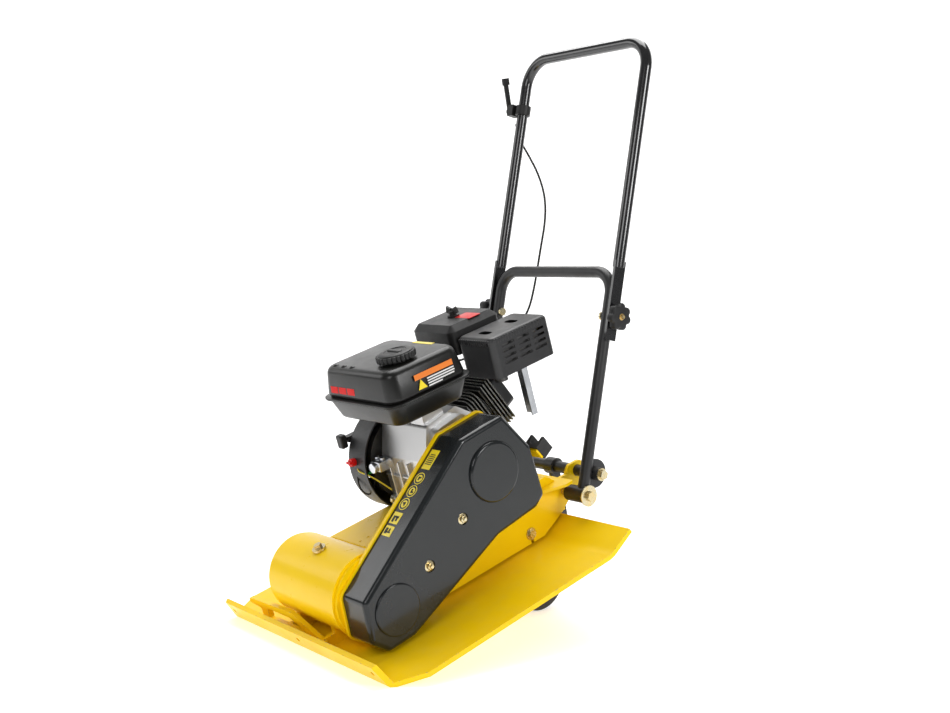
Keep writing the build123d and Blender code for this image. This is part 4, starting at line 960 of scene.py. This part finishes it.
@dataclass
class TankDetails:
    """Ticks, bars and stickers of the fuel tank, without any lettering."""

    front_y: float = 261.0
    right_x: float = 132.7
    front_lean: float = 0.10
    side_lean: float = 0.09
    bars: tuple[float, ...] = (-72.0, -42.0, -12.0)
    bar_height: float = 439.0
    bar_size: Place = (26.0, 15.0, 0.8)
    strip_y: float = 368.0
    strip_z: float = 457.0
    strip_size: Place = (96.0, 11.0, 0.7)
    line_start: float = 348.0
    lines: tuple[tuple[float, float], ...] = ((447.0, 68.0), (442.0, 68.0), (437.0, 66.0), (432.0, 34.0))
    ticks: tuple[float, ...] = (-78.0, -48.0, -18.0)
    tick_radius: float = 8.0

    def build(self) -> None:
        """Build the marks."""
        self.build_front_mark()
        self.build_side_sticker()
        self.build_ticks()

    def build_front_mark(self) -> None:
        """Build the three plain red bars on the front."""
        piece = Piece("front_mark")
        turn = Matrix.Rotation(math.pi / 2 - self.front_lean, 4, "X")
        for across in self.bars:
            piece.panel(self.bar_size, Matrix.Translation((across, self.front_y, self.bar_height)) @ turn)
        piece.done("root", Paint.LABEL_RED, "red_plastic")

    def build_side_sticker(self) -> None:
        """Build the strip, the triangle and the plain lines on the right side."""
        turn = Matrix.Rotation(math.pi / 2, 4, "Y") @ Matrix.Rotation(math.pi / 2, 4, "Z")
        face = Matrix.Rotation(-self.side_lean, 4, "Y") @ turn
        strip = Piece("sticker_strip")
        strip.panel(self.strip_size, Matrix.Translation((self.right_x, self.strip_y, self.strip_z)) @ face)
        strip.done("root", Paint.LABEL_ORANGE, "yellow_plastic")
        lines = Piece("sticker_lines")
        for height, length in self.lines:
            lean = (self.strip_z - height) * self.side_lean
            middle = (self.right_x + lean, self.line_start + length / 2, height)
            lines.panel((length, 2.6, 0.6), Matrix.Translation(middle) @ face)
        lines.done("root", Paint.LABEL_WHITE_PLAIN, "yellow_plastic")
        part = bmesh.new()
        bmesh.ops.create_cone(part, cap_ends=True, segments=3, radius1=12.5, radius2=12.5, depth=0.7)
        triangle = Piece("sticker_triangle")
        triangle.merge(part, Matrix.Translation((self.right_x + 1.4, 333.0, 438.0)) @ face)
        triangle.done("root", Paint.LABEL_YELLOW_PLAIN, "yellow_plastic")
        rear = Piece("tank_top_strip")
        rear.panel((66.0, 9.0, 0.5), Matrix.Translation((28.0, 432.0, 484.3)))
        rear.done("root", Paint.LABEL_YELLOW_PLAIN, "yellow_plastic")

    def build_ticks(self) -> None:
        """Build three raised ticks near the top front edge."""
        piece = Piece("tank_ticks")
        for across in self.ticks:
            part = bmesh.new()
            bmesh.ops.create_uvsphere(part, u_segments=24, v_segments=16, radius=self.tick_radius)
            bmesh.ops.scale(part, vec=(1.0, 0.8, 0.45), verts=part.verts)
            piece.merge(part, Matrix.Translation((across, 283.0, 483.2)))
        piece.done("root", Paint.TANK_BLACK, "satin_black")


@dataclass
class EngineDetails:
    """Small things on the engine: ignition unit, wires, bolts, bosses and ribs."""

    wires: tuple[tuple[Paint, float, tuple[Place, ...]], ...] = (
        (Paint.WIRE_GREEN, 2.6, ((-112, 283, 246), (-104, 280, 238), (-92, 284, 236), (-80, 290, 240),
                                 (-66, 300, 246), (-56, 312, 250))),
        (Paint.WIRE_YELLOW, 1.6, ((-110, 284, 252), (-100, 276, 250), (-88, 276, 246), (-74, 284, 240),
                                  (-58, 296, 222), (-46, 312, 198))),
        (Paint.SHEATH, 1.8, ((-116, 286, 244), (-112, 274, 220), (-106, 276, 196), (-96, 290, 186),
                             (-86, 298, 204), (-78, 300, 232))),
    )
    bosses: tuple[tuple[float, float], ...] = ((-58.0, 172.0), (70.0, 172.0), (70.0, 250.0))
    side_bolts: tuple[tuple[float, float], ...] = ((338, 180), (338, 250), (362, 318), (418, 328),
                                                   (456, 300), (456, 180))
    side_x: float = 106.0
    front_ribs: int = 14
    front_pitch: float = 7.0
    long_ribs: int = 20
    long_pitch: float = 7.2
    rib: float = 3.0

    def build(self) -> None:
        """Build the details."""
        self.build_ignition()
        self.build_wires()
        self.build_castings()
        self.build_cleaner()
        self.build_shroud()

    def build_ignition(self) -> None:
        """Build the silver unit in front of the crankcase, with its boss and two bolts."""
        unit = Piece("ignition_unit")
        unit.block((-70.0, 292.0, 246.0), (-36.0, 324.0, 268.0), 3.0)
        unit.spun(boss(11.0, 9.0), (-52.0, 292.0, 257.0), Axis.Y, 32, HALF_TURN)
        for across in (-44.0, -62.0):
            unit.hexagon((across, 308.0, 268.0), 9.0, 5.0, Axis.Z)
        unit.done("root", Paint.GALVANISED, "galvanised")

    def build_wires(self) -> None:
        """Build the short wires round the unit."""
        for index, (finish, radius, points) in enumerate(self.wires):
            piece = sweep(f"short_wire_{index}", points, radius, order=4, steps=10, sides=4)
            paint(piece, finish)
            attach(piece, "root")
            LOG.info("%s: %d faces on root", piece.name, len(piece.data.polygons))

    def build_castings(self) -> None:
        """Build ribs and bolt bosses on the crankcase and its side cover."""
        ribs = Piece("casting_ribs")
        for across in (-40.0, -8.0, 24.0, 56.0):
            ribs.block((across - 2.5, 317.0, 152.0), (across + 2.5, 328.0, 262.0), 1.6)
        ribs.block((-66.0, 320.0, 226.0), (80.0, 328.0, 231.0), 1.6)
        for across, height in self.bosses:
            ribs.spun(boss(10.0, 13.0), (across, 328.0, height), Axis.Y, 32, HALF_TURN)
        ribs.done("root", Paint.CAST_ALUMINIUM, "cast_aluminium")
        bolts = Piece("casting_bolts")
        for across, height in self.bosses:
            bolts.hexagon((across, 315.0, height), 10.0, 5.0, Axis.Y, -1.0)
        for y, z in self.side_bolts:
            bolts.hexagon((self.side_x, y, z), 10.0, 5.0, Axis.X)
        bolts.done("root", Paint.ZINC, "zinc")

    def build_cleaner(self) -> None:
        """Build the red strip on the air cleaner's lid and the washer of its nut."""
        strip = Piece("cleaner_strip")
        strip.block((-24.0, 560.0, 491.2), (26.0, 594.0, 492.3), 0.3, 4.0)
        strip.spun([(0.0, 4.0), (0.0, 12.0), (3.0, 11.0), (3.0, 4.0)], (-36.0, 568.0, 490.6),
                   Axis.Z, 32)
        strip.done("root", Paint.RED, "red_plastic")

    def build_shroud(self) -> None:
        """Build the rows of small ribs along two upper edges of the shroud."""
        ribs = Piece("shroud_ribs")
        for step in range(self.front_ribs):
            across = 49.0 + step * self.front_pitch
            ribs.block((across, 504.2, 455.0), (across + self.rib, 508.0, 466.0), 0.8)
        for step in range(self.long_ribs):
            along = 516.0 + step * self.long_pitch
            ribs.block((147.0, along, 456.0), (150.4, along + self.rib, 466.0), 0.8)
        ribs.done("root", Paint.SATIN_BLACK, "satin_black")


@dataclass
class Welds:
    """Weld beads between the plates."""

    radius: float = 2.6

    def build(self) -> None:
        """Build every bead."""
        beads = Piece("weld_beads")
        for x in (-75.0, 52.0):
            for side in (-5.0, 5.0):
                beads.bead((x + side, 60.0, 10.5), (x + side, 148.0, 10.5), self.radius)
        for side in (-1.0, 1.0):
            beads.bead((side * 118.0, 182.0, 120.0), (side * 118.0, 186.0, 60.0), self.radius)
            beads.bead((side * 126.5, 560.0, 108.5), (side * 126.5, 616.0, 108.5), 2.2)
        beads.bead((-110.0, 183.0, 136.0), (120.0, 183.0, 136.0), self.radius)
        beads.done("root", Paint.YELLOW, "plate_yellow")


# ---- studio -------------------------------------------------------------------------------
@dataclass
class Studio:
    """Pale floor, soft light and the camera, whose place is in the machine's frame."""

    eye: Vector = field(default_factory=lambda: Vector((2039.3, -930.1, 1080.9)))
    look: Vector = field(default_factory=lambda: Vector((-0.7779, 0.5725, -0.2592)))
    up: Vector = field(default_factory=lambda: Vector((-0.0568, 0.3467, 0.9363)))
    lens: float = 46.6
    sensor: float = 36.0
    floor_half: float = 9.0
    reach: float = 3.4
    curve: float = 1.6
    height: float = 5.0
    arc_steps: int = 12
    wall_turn: float = 50.0
    floor_glow: float = 0.50
    surround: float = 0.16
    target: Place = (0.0, 0.0, 0.4)
    boxes: tuple[tuple[str, Place, float, float], ...] = (
        ("key_box", (1.6, -2.8, 1.9), 1.3, 22.0),
        ("side_box", (3.2, 0.6, 1.7), 1.1, 44.0),
        ("top_box", (-0.6, 0.6, 3.2), 2.4, 92.0),
        ("left_box", (-2.2, -2.0, 1.6), 1.4, 14.0))

    def build(self) -> None:
        """Build floor, light and camera."""
        self.build_floor()
        self.build_light()
        self.build_camera()

    def build_floor(self) -> None:
        """Make the pale floor under the machine, which curves up into a wall behind it."""
        part = bmesh.new()
        reach, curve, height, half = self.reach, self.curve, self.height, self.floor_half
        line = [(-half, 0.0), (reach - curve, 0.0)]
        for step in range(1, self.arc_steps + 1):
            angle = step * math.pi / (2 * self.arc_steps)
            line.append((reach - curve + curve * math.sin(angle), curve - curve * math.cos(angle)))
        line.append((reach, height))
        rows = [[part.verts.new((side * half, along, up)) for side in (-1.0, 1.0)] for along, up in line]
        for low, high in zip(rows, rows[1:]):
            part.faces.new((low[0], low[1], high[1], high[0]))
        turn = Matrix.Rotation(math.radians(self.wall_turn), 4, "Z")
        bmesh.ops.transform(part, matrix=turn, verts=part.verts)
        bmesh.ops.recalc_face_normals(part, faces=part.faces)
        mesh = bpy.data.meshes.new("studio_floor")
        part.to_mesh(mesh)
        part.free()
        floor = add_object("studio_floor", mesh)
        shade_smooth(mesh)
        paint(floor, Paint.FLOOR)
        shader = floor.data.materials[0].node_tree.nodes["Principled BSDF"].inputs
        shader["Emission Color"].default_value = (1.0, 1.0, 1.0, 1.0)
        shader["Emission Strength"].default_value = self.floor_glow

    def build_light(self) -> None:
        """Light the scene with a dim surround and soft boxes."""
        world = bpy.data.worlds.new("studio")
        bpy.context.scene.world = world
        world.use_nodes = True
        background = world.node_tree.nodes["Background"]
        background.inputs["Color"].default_value = (1.0, 1.0, 1.0, 1.0)
        background.inputs["Strength"].default_value = self.surround
        for name, place, size, power in self.boxes:
            light = bpy.data.lights.new(name, "AREA")
            light.shape = "SQUARE"
            light.size = size
            light.energy = power
            lamp = add_object(name, light)
            lamp.location = place
            aim = Vector(self.target) - Vector(place)
            lamp.rotation_euler = aim.to_track_quat("-Z", "Y").to_euler()

    def build_camera(self) -> None:
        """Place the camera."""
        camera = add_object("camera", bpy.data.cameras.new("camera"))
        camera.data.lens = self.lens
        camera.data.sensor_width = self.sensor
        turn = Matrix.Rotation(MACHINE.pitch, 3, "X")
        back = -(turn @ self.look).normalized()
        right = (turn @ self.up).cross(back).normalized()
        up = back.cross(right)
        axes = Matrix((right, up, back)).transposed().to_4x4()
        camera.matrix_world = Matrix.Translation(MACHINE.to_row @ self.eye) @ axes
        bpy.context.scene.camera = camera
        bpy.context.scene.view_settings.view_transform = "Standard"


def main() -> None:
    """Build the studio and every sub-assembly in order."""
    logging.basicConfig(level=logging.INFO, format="%(name)s: %(message)s")
    Studio().build()
    Dressing().build()
    for cable in CABLES:
        cable.build()
    for assembly in (Wheels(), StarKnobs(), FuelTank(), CoverDetails(), TankDetails(), EngineDetails(),
                     Welds()):
        assembly.build()


if __name__ == "__main__":
    main()
